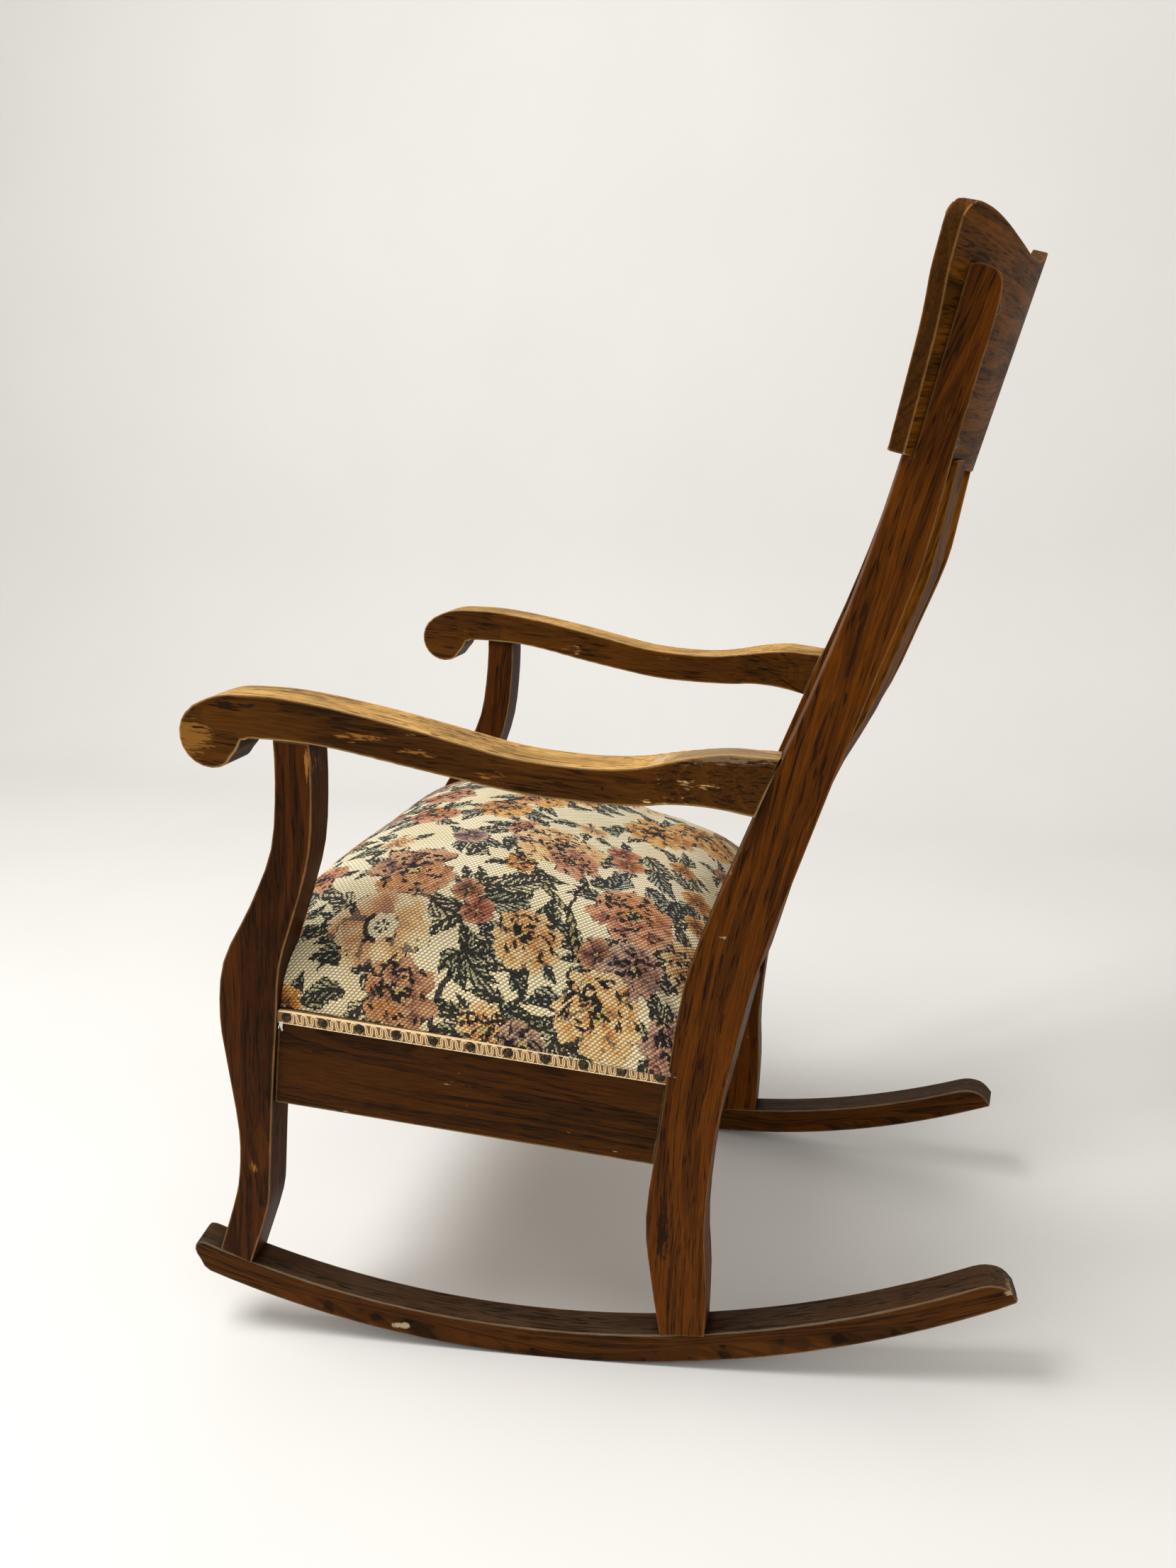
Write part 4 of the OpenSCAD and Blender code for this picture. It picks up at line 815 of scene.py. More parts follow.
class Tapestry:
    """Lays a traditional floral pattern on the cloth, thread by thread."""

    ground: Colour = dye(255, 253, 234)
    aged: Colour = dye(236, 226, 190)
    ink: Colour = dye(20, 24, 42)
    strand: Colour = dye(190, 188, 132)
    leaf_fills: tuple[Colour, ...] = (dye(186, 198, 192), dye(176, 188, 166), dye(226, 226, 200))
    any_turn: float = 6.28
    fillers: tuple[float, ...] = (0.018, 0.025, 0.034, 0.043)
    tries: int = 1200
    free_edge: float = 0.15
    large: float = 0.024

    def __init__(self, across: np.ndarray, along: np.ndarray) -> None:
        """Starts with bare ground.

        Args:
            across: Each thread's place across the cloth, in metres.
            along: Its place from front to rear.
        """
        self.x, self.y = across, along
        self.rng = np.random.default_rng(11)
        self.rag, self.coarse, self.wash = (
            Cloud(seed).at(across / cell, along / cell)
            for seed, cell in ((3, 0.0030), (5, 0.009), (6, 0.030)))
        self.grit = self.rng.random(len(across))
        self.colours = np.tile(np.array(self.ground), (len(across), 1))
        self.dab(np.arange(len(across)), self.aged, np.clip(self.wash * 1.2 - 0.5, 0, 0.35))

    def dab(self, where: np.ndarray, colour: np.ndarray | Colour,
            share: float | np.ndarray = 1.0) -> None:
        """Covers a share of some threads with one colour, or with one for each."""
        share = np.broadcast_to(np.asarray(share, float), where.shape)[:, None]
        self.colours[where] = self.colours[where] * (1 - share) + np.asarray(colour) * share

    def turned(self, near: np.ndarray, across: float, along: float,
               turn: float) -> tuple[np.ndarray, np.ndarray]:
        """Measures threads from a point, along a direction and to its left."""
        dx, dy = self.x[near] - across, self.y[near] - along
        return dx * math.cos(turn) + dy * math.sin(turn), dy * math.cos(turn) - dx * math.sin(turn)

    def around(self, across: float, along: float, reach: float) -> np.ndarray:
        """Finds the threads within reach of a point."""
        return np.flatnonzero((np.abs(self.x - across) < reach) & (np.abs(self.y - along) < reach))

    def stroke(self, near: np.ndarray, leaf: Leaf) -> None:
        """Draws a short dark stroke with pointed ends.

        Args:
            near: The threads that it may cover.
            leaf: Its place and size.
        """
        s, q = self.turned(near, leaf.across, leaf.along, leaf.turn)
        belly = leaf.width / 2 * np.sin(np.pi * np.clip(s / leaf.length, 0, 1)) ** 0.6
        hit = (s > 0) & (s < leaf.length) & (np.abs(q) < belly * (0.7 + 0.6 * self.rag[near]))
        self.dab(near[hit], self.ink, 0.95)

    def leaf(self, leaf: Leaf) -> None:
        """Draws a leaf with a dark midrib, slanting veins and a dark edge.

        Args:
            leaf: Its place and size.
        """
        near = self.around(leaf.across, leaf.along, leaf.length * 1.25)
        s, q = self.turned(near, leaf.across, leaf.along, leaf.turn)
        s = s / leaf.length
        q = q + leaf.width * 0.3 * np.sin(np.pi * np.clip(s, 0, 1))
        belly = leaf.width / 2 * np.sin(np.pi * np.clip(s, 0, 1) ** 0.7) + 1e-6
        edge = np.abs(q) / belly + (self.rag[near] - 0.5) * 0.45
        inside = (s > 0) & (s < 1) & (edge < 1)
        near, s, q, edge = near[inside], s[inside], q[inside], edge[inside]
        self.dab(near, self.leaf_fills[int(self.rng.integers(3))], 0.8)
        phase = (s * leaf.length * 0.8 - np.abs(q) * 1.25) / 0.0068 + self.rag[near] * 0.35
        dark = np.mod(phase, 1.0) < np.where(q > 0, 0.66, 0.46)
        dark |= (np.abs(q) < 0.0010 + 0.0012 * (1 - s)) | (edge > np.where(q > 0, 0.74, 0.9))
        self.dab(near[dark], self.ink, 0.95)

    def stem(self, points: list[tuple[float, float]], width: float, twisted: bool) -> None:
        """Draws a stem along a line of points.

        Args:
            points: The line.
            width: The stem's width.
            twisted: Whether two strands are wound round each other.
        """
        for (x0, y0), (x1, y1) in zip(points, points[1:]):
            length, turn = math.hypot(x1 - x0, y1 - y0), math.atan2(y1 - y0, x1 - x0)
            near = self.around(x0, y0, length + width)
            s, q = self.turned(near, x0, y0, turn)
            q = q + (self.coarse[near] - 0.5) * 0.003
            on = (s > -width / 2) & (s < length + width / 2) & (np.abs(q) < width / 2)
            near, s, q = near[on], s[on], q[on]
            if twisted:
                light = (np.mod((s + q * 1.5) / 0.010, 1.0) > 0.45) & (np.abs(q) < width * 0.3)
                self.dab(near[light], self.strand, 0.85)
                near = near[~light]
            self.dab(near, self.ink, 0.95)

    def petal(self, near: np.ndarray, flower: Flower, turn: float, length: float, width: float,
              point: float) -> None:
        """Draws one petal, dark at its foot, light at its rim and streaked between.

        Args:
            near: The threads round the flower.
            flower: The flower that it belongs to.
            turn: Its direction from the flower's middle.
            length: Its length.
            width: Its width.
            point: How pointed its tip is, 0 to 1.
        """
        s, q = self.turned(near, flower.across, flower.along, turn)
        s, q = s / length, q / (width / 2)
        ruffle = 0.05 * np.cos(q * 5.0 + turn * 7.0) + (self.rag[near] - 0.5) * 0.12
        tip = np.clip(1 - np.clip(s + ruffle, 0, 1) ** 5, 0, 1) ** (0.5 + point)
        belly = np.clip(s, 0, 1) ** 0.55 * tip
        edge = np.abs(q) / (belly + 1e-6) + (self.rag[near] - 0.5) * 0.25
        inside = (s > 0) & (s + ruffle < 1) & (edge < 1)
        near, s, q, edge = near[inside], s[inside], q[inside], edge[inside]
        heart, body, rim = (np.array(c) for c in flower.tint.value)
        streak = Cloud(8).at(q * 3.2 + 40.0 + turn * 3.0, s * 1.6 + 20.0)
        tone = s * 1.25 - 0.22 + (streak - 0.5) * 0.9 + (self.grit[near] - 0.5) * 0.3
        tone = np.clip(tone, 0, 1)[:, None]
        colour = np.where(tone < 0.5, heart + (body - heart) * tone * 2,
                          body + (rim - body) * (tone * 2 - 1))
        other = np.array((AMBER if flower.tint in (DUSTY, PEACH, BROWN) else DUSTY).value[1])
        share = np.clip(self.wash[near] * 1.5 - 0.75, 0, 0.55)[:, None]
        self.dab(near, colour * (1 - share) + other * share)
        shadow = near[(edge > 0.74) & (q * math.cos(turn) < 0.2)]
        self.dab(shadow, np.array(MAUVE.value[0]) * 0.9, 0.75 * (self.coarse[shadow] > 0.3))
        self.dab(near[(edge > 0.8) & (s > 0.35) & (self.coarse[near] > 0.66)], self.ink, 0.9)
        self.dab(near[(s > 0.84) & (edge < 0.8)], rim, 0.5)

    def flower(self, flower: Flower) -> None:
        """Draws a flower ring by ring, then its dark heart and strokes.

        Args:
            flower: Its place, size and kind.
        """
        rng = self.rng
        near = self.around(flower.across, flower.along, flower.radius * 1.15)
        for share, count, point in flower.kind.value:
            start = float(rng.uniform(0, self.any_turn))
            for k in range(count):
                turn = start + FULL_TURN * k / count + float(rng.normal(0, 0.10))
                length = flower.radius * share * float(rng.uniform(0.86, 1.04))
                self.petal(near, flower, turn, length, length * 2 * math.pi / count * 1.12, point)
        s, q = self.turned(near, flower.across, flower.along, 0.0)
        r, angle = np.hypot(s, q) / flower.radius, np.arctan2(q, s)
        if flower.kind is STAR:
            self.dab(near[(r < 0.52) & (np.abs(np.sin(5 * angle / 2)) < 0.62 - r)], self.ink, 0.95)
            self.dab(near[r < 0.1], dye(200, 190, 150), 0.9)
            return
        if flower.kind is WINDOW:
            self.dab(near[r < 0.27 + 0.03 * np.cos(angle * 7)], self.ground, 0.95)
            dots = (np.abs(r - 0.1) < 0.04) & (np.cos(angle * 6) > 0.2)
            ringed = (np.abs(r - 0.3) < 0.05) & (self.coarse[near] > 0.42) & (angle < 1.2)
            self.dab(near[dots | ringed], self.ink, 0.93)
            return
        core = near[r < 0.19]
        seeds = np.where((self.rag[core] > 0.42)[:, None], self.ink, dye(206, 196, 140))
        self.dab(core, seeds, 0.95)
        for _ in range(int(flower.radius * 900)):
            out = flower.radius * float(rng.uniform(0.15, 0.78))
            side = float(rng.normal(3.6, 1.3))
            self.stroke(near, Leaf(
                flower.across + out * math.cos(side), flower.along + out * math.sin(side),
                side + float(rng.choice((-1.2, 1.2))), float(rng.uniform(0.005, 0.011)), 0.0032))

    def layout(self) -> list[Flower]:
        """Lists the flowers: the ones that face the camera, then others that fill the rest.

        Returns:
            The flowers in the order they are drawn.
        """
        flowers = [Flower(*(value / MM_PER_M for value in row[:3]), *row[3:]) for row in FLOWERS_MM]
        kinds, tints, rng = list(Bloom)[:4], list(Tint), self.rng
        for _ in range(self.tries):
            radius = float(rng.choice(self.fillers))
            x = rng.uniform(self.x.min() + 0.02, self.free_edge)
            y = rng.uniform(self.y.min(), self.y.max())
            if all(math.hypot(x - f.across, y - f.along) > radius + f.radius + 0.002
                   for f in flowers):
                kind = STAR if radius < 0.02 else kinds[int(rng.integers(4))]
                flowers.append(Flower(x, y, radius, kind, tints[int(rng.integers(len(tints)))]))
        return flowers

    def draw(self) -> np.ndarray:
        """Draws the whole pattern.

        Returns:
            A colour for each thread.
        """
        rng, flowers = self.rng, self.layout()
        for flower in flowers:
            for _ in range(8 if flower.radius > self.large else 5):
                turn = float(rng.uniform(0, self.any_turn))
                reach = flower.radius * 0.7
                length = float(rng.uniform(0.020, 0.042))
                self.leaf(Leaf(flower.across + reach * math.cos(turn),
                               flower.along + reach * math.sin(turn),
                               turn + float(rng.uniform(-0.8, 0.8)), length, length * 0.46))
        for points, width, twisted in STEMS_MM:
            line = [(x / MM_PER_M, y / MM_PER_M) for x, y in points]
            self.stem(line, width / MM_PER_M, twisted)
        for x, y, turn, length, width in LEAVES_MM:
            self.leaf(Leaf(x / MM_PER_M, y / MM_PER_M, turn, length / MM_PER_M, width / MM_PER_M))
        for flower in flowers:
            self.flower(flower)
        # Darker, beiger threads low on the sides: painted shade on the lower sides, with yellowed
        # yarn.
        low = np.clip((np.abs(self.x) - 0.235) / 0.08, 0, 1)
        self.dab(np.arange(len(self.x)), self.colours * np.array([0.88, 0.81, 0.68]), low * 0.45)
        return self.colours * (0.93 + 0.12 * self.grit)[:, None]


@dataclass
class Cushion:
    """The stuffed seat: a crowned form whose sides swell a little over the rails."""

    crown: float = 0.1285
    swell_height: float = 0.060
    swell: float = 0.004
    cover: float = 0.0027
    front: float = 0.290
    rear: float = 0.134
    front_half: float = 0.288
    rear_half: float = 0.2545
    taper_start: float = 0.292
    taper_length: float = 0.428
    summit: float = -0.15
    foot: float = -0.0004
    slack: float = 0.0026
    most_swell: float = 0.0050
    hem: float = 0.0034
    half_span: float = 0.3
    lip: float = 0.012
    lip_rise: float = 0.0022
    columns: int = 72
    rows: int = 60
    finer: int = 6
    frames: int = 20

    def height_share(self, a: np.ndarray, b: np.ndarray) -> np.ndarray:
        """Finds the crown's height.

        Args:
            a: Places across, -1 to 1.
            b: Places from front to rear, -1 to 1.

        Returns:
            Shares of the crown.
        """
        stations = np.array([
            [-1, 0], [-0.985, 0.323], [-0.94, 0.583], [-0.86, 0.71], [-0.74, 0.812],
            [-0.58, 0.911], [-0.38, 0.984], [-0.15, 1], [0.1, 0.931], [0.35, 0.831],
            [0.58, 0.768], [0.76, 0.692], [0.88, 0.553], [0.95, 0.382], [0.988, 0.194], [1, 0]])
        fine = np.linspace(-1, 1, 801)
        along = np.interp(fine, stations[:, 0], stations[:, 1])
        window = np.hanning(35)[1:-1] / np.hanning(35).sum()
        soft = np.convolve(np.pad(along, 16, mode="edge"), window, "valid")
        along = along + (soft[:801] - along) * np.clip((0.9 - np.abs(fine)) * 6, 0, 1)
        return np.power(np.maximum(1 - np.abs(a) ** 3, 0), 0.4) * np.interp(b, fine, along)

    def surface(self, a: np.ndarray, b: np.ndarray, less: float = 0.0) -> np.ndarray:
        """Places points of the cover in the seat's own plane.

        Args:
            a: Places across, -1 to 1.
            b: Places from front to rear, -1 to 1.
            less: How far the form is drawn in.

        Returns:
            The points.
        """
        z = self.foot + (self.crown - self.foot - less) * self.height_share(a, b)
        lift = np.clip(z / self.swell_height, 0, 1)
        margin = self.cover + self.swell * np.sin(np.pi * lift) - less * np.clip(lift * 4, 0, 1)
        low, high = -self.front / math.cos(SLOPE), self.rear / math.cos(SLOPE)
        y = (low + high) / 2 + b * ((high - low) / 2 + margin)
        half = (self.front_half + (self.rear_half - self.front_half) * (y + self.taper_start)
                / self.taper_length)
        return np.stack([a * (half + margin), y, z], -1)

    def even_places(self, count: int, across: bool) -> np.ndarray:
        """Spaces places so that the cloth between them is equally long on the middle line.

        Args:
            count: How many steps.
            across: Whether they run across or from front to rear.

        Returns:
            The places, -1 to 1.
        """
        fine = np.sin(np.pi / 2 * np.linspace(-1, 1, 4001))
        middle = np.full_like(fine, self.summit if across else 0.0)
        line = self.surface(fine, middle) if across else self.surface(middle, fine)
        steps = np.linalg.norm(np.diff(line, axis=0), axis=1)
        lengths = np.concatenate([[0], np.cumsum(steps)])
        return np.interp(np.linspace(0, lengths[-1], count + 1), lengths, fine)

    @staticmethod
    def in_row(points: np.ndarray) -> np.ndarray:
        """Moves points from the seat's plane to the row frame.

        Args:
            points: The points.

        Returns:
            The moved points.
        """
        x, y, z = points[..., 0], points[..., 1], points[..., 2]
        cos, sin = math.cos(SLOPE), math.sin(SLOPE)
        moved = [x, y * cos + z * sin - CONTACT_SHIFT, -y * sin + z * cos + SEAT_HEIGHT]
        return np.stack(moved, -1)

    def closed(self, name: str, grid: np.ndarray) -> tuple[Mesh, np.ndarray, list[int]]:
        """Closes a grid with a hem behind the braid, an inner rim and a flat bottom.

        Args:
            name: The mesh's name.
            grid: The grid's points in the row frame.

        Returns:
            The mesh, its points and the numbers of the grid's outer points. The faces are the
            grid's, then for each outer point its hem, lip and bottom.
        """
        nu, nv = grid.shape[0] - 1, grid.shape[1] - 1
        row, first = nv + 1, (nu + 1) * (nv + 1)
        rim = ([i * row for i in range(nu)] + [nu * row + j for j in range(nv)]
               + [i * row + nv for i in range(nu, 0, -1)] + list(range(nv, 0, -1)))
        count = len(rim)
        faces = grid_faces(nu, nv).tolist()
        for k in range(count):
            n = (k + 1) % count
            faces += [(rim[n], rim[k], first + k, first + n),
                      (first + n, first + k, first + count + k, first + count + n),
                      (first + count + n, first + count + k, first + 2 * count)]
        flat = grid.reshape(-1, 3)
        edge = flat[rim]
        down = np.array([0.0, math.sin(SLOPE), math.cos(SLOPE)]) * self.hem
        centre = edge.mean(0)
        lip = edge + (centre - edge) * self.lip
        lip[:, 2] += self.lip_rise
        middle = centre + np.array([0.0, 0.0, self.lip_rise])
        points = np.concatenate([flat, edge - down, lip, middle[None]])
        return shaped(name, points, faces), points, rim

    def swollen(self, grid: np.ndarray) -> np.ndarray:
        """Blows the cover up like stuffed cloth, with its lower edge held.

        Args:
            grid: The points of a slightly smaller form.

        Returns:
            The points after the simulation, moved no further than the cap.
        """
        mesh, points, rim = self.closed("cushion_trial", self.in_row(grid))
        trial = put(mesh)
        count = grid.shape[0] * grid.shape[1]
        held = rim + list(range(count, len(points)))
        trial.vertex_groups.new(name="held").add(held, 1.0, "REPLACE")
        cloth = trial.modifiers.new("stuffing", "CLOTH")
        for name, value in (
                ("quality", 5), ("mass", 0.25), ("tension_stiffness", 25.0),
                ("compression_stiffness", 25.0), ("bending_stiffness", 1.2), ("use_pressure", True),
                ("uniform_pressure_force", 4.0), ("vertex_group_mass", "held")):
            setattr(cloth.settings, name, value)
        cloth.settings.effector_weights.gravity = 0.0
        cloth.collision_settings.use_collision = False
        cloth.point_cache.frame_start, cloth.point_cache.frame_end = 1, self.frames
        for frame in range(1, self.frames + 1):
            bpy.context.scene.frame_set(frame)
        settled = trial.evaluated_get(bpy.context.evaluated_depsgraph_get())
        moved = vectors(settled.data.vertices, "co") - points
        bpy.context.scene.frame_set(1)
        bpy.data.objects.remove(trial)
        lengths = np.linalg.norm(moved, axis=1, keepdims=True)
        moved *= np.minimum(1.0, self.most_swell / np.maximum(lengths, 1e-9))
        log.info("stuffing moved the cover by %.1f mm at most", lengths.max() * MM_PER_M)
        return (points + moved)[:count].reshape(grid.shape)

    def refined(self, grid: np.ndarray) -> np.ndarray:
        """Puts finer points between those of a grid, along smooth curves both ways.

        Args:
            grid: The grid's points.

        Returns:
            The finer grid.
        """
        for axis in (0, 1):
            lines = np.moveaxis(grid, axis, 0)
            count = lines.shape[0]
            places = np.linspace(0, count - 1, (count - 1) * self.finer + 1)
            base = np.minimum(places.astype(int), count - 2)
            t = (places - base)[:, None, None]
            before, after = np.maximum(base - 1, 0), np.minimum(base + 2, count - 1)
            p0, p1, p2, p3 = lines[before], lines[base], lines[base + 1], lines[after]
            grid = 0.5 * (2 * p1 + (p2 - p0) * t + (2 * p0 - 5 * p1 + 4 * p2 - p3) * t ** 2
                          + (3 * p1 - p0 - 3 * p2 + p3) * t ** 3)
            grid = np.moveaxis(grid, 0, axis)
        return grid

    def build(self, effects: Effects) -> None:
        """Builds the cushion in the place of the cover and its stuffing.

        Args:
            effects: The shared effects.
        """
        a, b = np.meshgrid(self.even_places(self.columns, True),
                           self.even_places(self.rows, False), indexing="ij")
        fine = self.refined(self.swollen(self.surface(a, b, self.slack)))
        nu, nv = fine.shape[0] - 1, fine.shape[1] - 1
        mesh, points, rim = self.closed("seat_cushion", fine)
        across, along = np.zeros((nu + 1, nv + 1)), np.zeros((nu + 1, nv + 1))
        across[1:] = np.cumsum(np.linalg.norm(np.diff(fine, axis=0), axis=2), axis=0)
        across -= across[nu // 2][None]
        along[:, 1:] = np.cumsum(np.linalg.norm(np.diff(fine, axis=1), axis=2), axis=1)
        along -= along[:, nv // 2][:, None]
        colours = Tapestry(*((p[:-1, :-1] + p[1:, 1:]).ravel() / 2 for p in (across, along))).draw()
        rim = np.array(rim)
        beside = (np.minimum(rim // (nv + 1), nu - 1) * nv + np.minimum(rim % (nv + 1), nv - 1))
        colours = np.concatenate([colours, np.repeat(colours[beside], 3, axis=0)])
        rgba = np.concatenate([colours, np.ones((len(colours), 1))], 1).astype(np.float32)
        corners = np.repeat(rgba, [len(p.vertices) for p in mesh.polygons], axis=0)
        attach(mesh, "yarn", "FLOAT_COLOR", "CORNER", corners)
        places = np.zeros((len(points), 3), np.float32)
        count = across.size
        places[:count, 0], places[:count, 1] = across.ravel(), along.ravel()
        places[count:count + len(rim)] = places[rim] * (1.0 + self.hem / self.half_span)
        attach(mesh, "cloth", "FLOAT_VECTOR", "POINT", places)
        piece = put(mesh, self.fabric(effects))
        stand_in(piece, "tapestry", "seat_cover", "seat_stuffing")
        log.info("cushion: %d threads", len(colours))

    @staticmethod
    def fabric(effects: Effects) -> Material:
        """Makes the tapestry's material: coloured yarn with painted shade in the gaps between
        slanting threads.

        Args:
            effects: The shared effects.

        Returns:
            The material.
        """
        p = Paint("tapestry_cloth")
        place = p.stored("cloth")
        weave = p.placed(effects.weave, Place=place, Column=0.0026, Row=0.0040, Slant=0.35,
                         Squash=1.25)
        # Painted shade in the gaps: the yarn is darkened where the threads part.
        shade = p.blend(weave["Thread"], dye(176, 154, 108), (1.0, 1.0, 1.0))
        colour = p.blend(1.0, p.stored("yarn", "Color"), shade, "MULTIPLY")
        mottle = p.ramp(p.noise(place, 420.0, 420.0), 0.3, 0.7, 0.0, 0.07)
        return p.finish(Base_Color=p.blend(mottle, colour, dye(150, 128, 92)), Roughness=0.9,
                        Sheen_Weight=0.04, Specular_IOR_Level=0.1,
                        Normal=p.bump(weave["Height"], 0.55, 0.0010))


@dataclass
class Gimp:
    """The braid that covers the cloth's edge: a band, two edge cords and a winding double cord."""

    cord: float = 0.00058
    wave: float = 0.0090
    slant: float = -0.12
    loop: float = 0.50
    spread: float = 0.00080
    wave_edge: float = 0.0016
    sides: int = 6
    strand: float = 0.00040
    strand_pitch: float = 0.0034
    strand_offset: float = 0.0003
    edge: float = 0.0006
    backing: float = 0.00045
    backing_depths: Triple = (-0.0005, -0.0012, -0.0018)
    cord_inset: float = 0.001
    cord_step: float = 0.0011
    band_inset: float = 0.0004
    band_rise: float = 0.0002
    band_camber: float = 0.0005
    tuft_inset: float = 0.004
    nail_reach: float = 0.0056
    nail_slope: float = 0.0014
    nail_sink: float = 0.0009
    loose_threads: int = 5
    columns: int = 119
    rows: int = 6

    @staticmethod
    def frame_of(node: Piece) -> tuple[np.ndarray, ...]:
        """Finds a band's middle and its directions from its solid.

        Args:
            node: The CAD node of the band.

        Returns:
            Its middle, its directions along, up and outwards as rows, and its half sizes.
        """
        points = vectors(node.data.vertices, "co")
        middle = (points.min(0) + points.max(0)) / 2
        along, up, out = np.linalg.svd(points - points.mean(0), full_matrices=False)[2]
        if up[2] < 0:
            up = -up
        if out @ (middle - np.array([0.0, -0.1, middle[2]])) < 0:
            out = -out
        if np.cross(along, up) @ out < 0:
            along = -along
        axes = np.stack([along, up, out])
        spans = [(points - middle) @ axis for axis in axes]
        middle = middle + sum((s.min() + s.max()) / 2 * axis for s, axis in zip(spans, axes))
        return middle, axes, np.array([(s.max() - s.min()) / 2 for s in spans])

    def tube(self, path: np.ndarray, radius: float) -> tuple[np.ndarray, np.ndarray]:
        """Sweeps a round cord along a path.

        Args:
            path: Its points.
            radius: Its radius.

        Returns:
            Points and four-sided faces.
        """
        ahead = np.gradient(path, axis=0)
        ahead /= np.linalg.norm(ahead, axis=1, keepdims=True)
        side = np.cross(ahead, np.array([0.0, 0.0, 1.0]))
        side /= np.linalg.norm(side, axis=1, keepdims=True)
        over = np.cross(side, ahead)
        angles = (np.arange(self.sides) * 2 * math.pi / self.sides)[None, :, None]
        rings = (path[:, None] + radius * (np.cos(angles) * side[:, None]
                                           + np.sin(angles) * over[:, None]))
        i, k = np.meshgrid(np.arange(len(path) - 1), np.arange(self.sides), indexing="ij")
        here, there = i * self.sides, (i + 1) * self.sides
        n = (k + 1) % self.sides
        faces = np.stack([here + k, here + n, there + n, there + k], -1).reshape(-1, 4)
        return rings.reshape(-1, 3), faces

    def cords(self, half_length: float, half_height: float) -> list[tuple[np.ndarray, float]]:
        """Lays out the cords in the band's own plane: along, up and out.

        Args:
            half_length: Half of the band's length.
            half_height: Half of its height.

        Returns:
            Each cord's path and radius.
        """
        turns = int(2 * half_length / self.wave) - 1
        t = np.linspace(0, FULL_TURN * turns, turns * 18 + 1)
        along = (self.wave / FULL_TURN * (t + self.loop * np.sin(2 * t)) - turns * self.wave / 2)
        up = (half_height - self.wave_edge) * np.cos(t)
        along = along + self.slant * up
        step = np.stack([np.gradient(along), np.gradient(up)], 1)
        step /= np.linalg.norm(step, axis=1, keepdims=True)
        found = [(along - side * self.spread * step[:, 1], up + side * self.spread * step[:, 0],
                  self.cord * (1.0 + 0.7 * np.sin(t + side)), self.cord) for side in (-1, 1)]
        length = np.linspace(-half_length + self.cord_inset, half_length - self.cord_inset,
                             int(half_length * 2 / self.cord_step))
        for side in (-1, 1):
            for start in (0.0, math.pi):
                twist = length * 2 * math.pi / self.strand_pitch + start
                found.append((length, side * (half_height - self.edge)
                              + self.strand_offset * np.cos(twist),
                              self.strand + self.strand_offset * np.sin(twist), self.strand))
        found += [(length, half_height - self.edge, depth, self.backing)
                  for depth in self.backing_depths]
        return [(np.stack(np.broadcast_arrays(*path), 1), radius) for *path, radius in found]

    def tuft(self, end: float, half_height: float) -> list[tuple[np.ndarray, float]]:
        """Lays out a few frayed threads that hang from the end of a band.

        Args:
            end: The end's place along the band.
            half_height: Half of the band's height.

        Returns:
            Each thread's path and radius.
        """
        rng = np.random.default_rng(4)
        found = []
        t = np.linspace(0, 1, 9)
        for k in range(self.loose_threads):
            lean, bow = rng.uniform(-0.0022, 0.0022), rng.uniform(-0.0012, 0.0012)
            found.append((np.stack([
                end + (k - 2) * 0.0006 + lean * t,
                -half_height + 0.002 - rng.uniform(0.006, 0.009) * t,
                0.0012 + 0.0008 * np.sin(np.pi * t) + bow * t * t * 0.4], 1), self.backing))
        return found

    def nail_places(self, node: Piece, middle: np.ndarray,
                    along: np.ndarray) -> np.ndarray:
        """Finds the nails' middles along a band.

        Args:
            node: The CAD node of the band's nails.
            middle: The band's middle.
            along: The band's direction.

        Returns:
            Their places from the band's middle.
        """
        places = np.sort((vectors(node.data.vertices, "co") - middle) @ along)
        groups = np.split(places, np.flatnonzero(np.diff(places) > 2 * self.nail_reach) + 1)
        return np.array([(group[0] + group[-1]) / 2 for group in groups])

    def build(self, nodes: Nodes, effects: Effects) -> None:
        """Builds the braid on all four sides.

        Args:
            nodes: The CAD nodes.
            effects: The shared effects.
        """
        braid, band_shade_paint, thread = self.yarn(effects)
        for name in ("left_gimp", "right_gimp", "front_gimp", "rear_gimp"):
            frayed = name == "left_gimp"
            middle, axes, half = self.frame_of(nodes[name])
            xs = np.linspace(-half[0], half[0], self.columns + 1)
            ys = np.linspace(-half[1] + self.band_inset, half[1] - self.band_inset, self.rows + 1)
            gx, gy = np.meshgrid(xs, ys, indexing="ij")
            rise = self.band_rise - self.band_camber * (gy / half[1]) ** 2
            band = np.stack([gx, gy, rise], -1).reshape(-1, 3)
            points, faces, count = [band], [grid_faces(self.columns, self.rows)], len(band)
            cords = self.cords(half[0], half[1])
            if frayed:
                front = 1.0 if axes[0][1] < 0 else -1.0
                cords += self.tuft(front * (half[0] - self.tuft_inset), half[1])
            for path, radius in cords:
                more, quads = self.tube(path, radius)
                points.append(more)
                faces.append(quads + count)
                count += len(more)
            local = np.concatenate(points)
            nails = self.nail_places(nodes[name + "_nails"], middle, axes[0])
            away = np.hypot(np.abs(local[:, None, 0] - nails).min(1), local[:, 1])
            sink = np.clip((self.nail_reach - away) / self.nail_slope, 0, 1)
            local[:, 2] -= sink * (local[:, 2] + self.nail_sink)
            local[:, 2] += half[2] - self.band_rise
            mesh = shaped(name + "_braid", middle + local @ axes, np.concatenate(faces).tolist())
            slots = np.zeros(len(mesh.polygons), np.int32)
            slots[:len(faces[0])] = 1
            if frayed:
                slots[-sum(len(quads) for quads in faces[-self.loose_threads:]):] = 2
            attach(mesh, "cloth", "FLOAT_VECTOR", "POINT", local)
            piece = put(mesh, braid, band_shade_paint, *([thread] if frayed else []))
            mesh.polygons.foreach_set("material_index", slots)
            stand_in(piece, "cream_gimp", name)
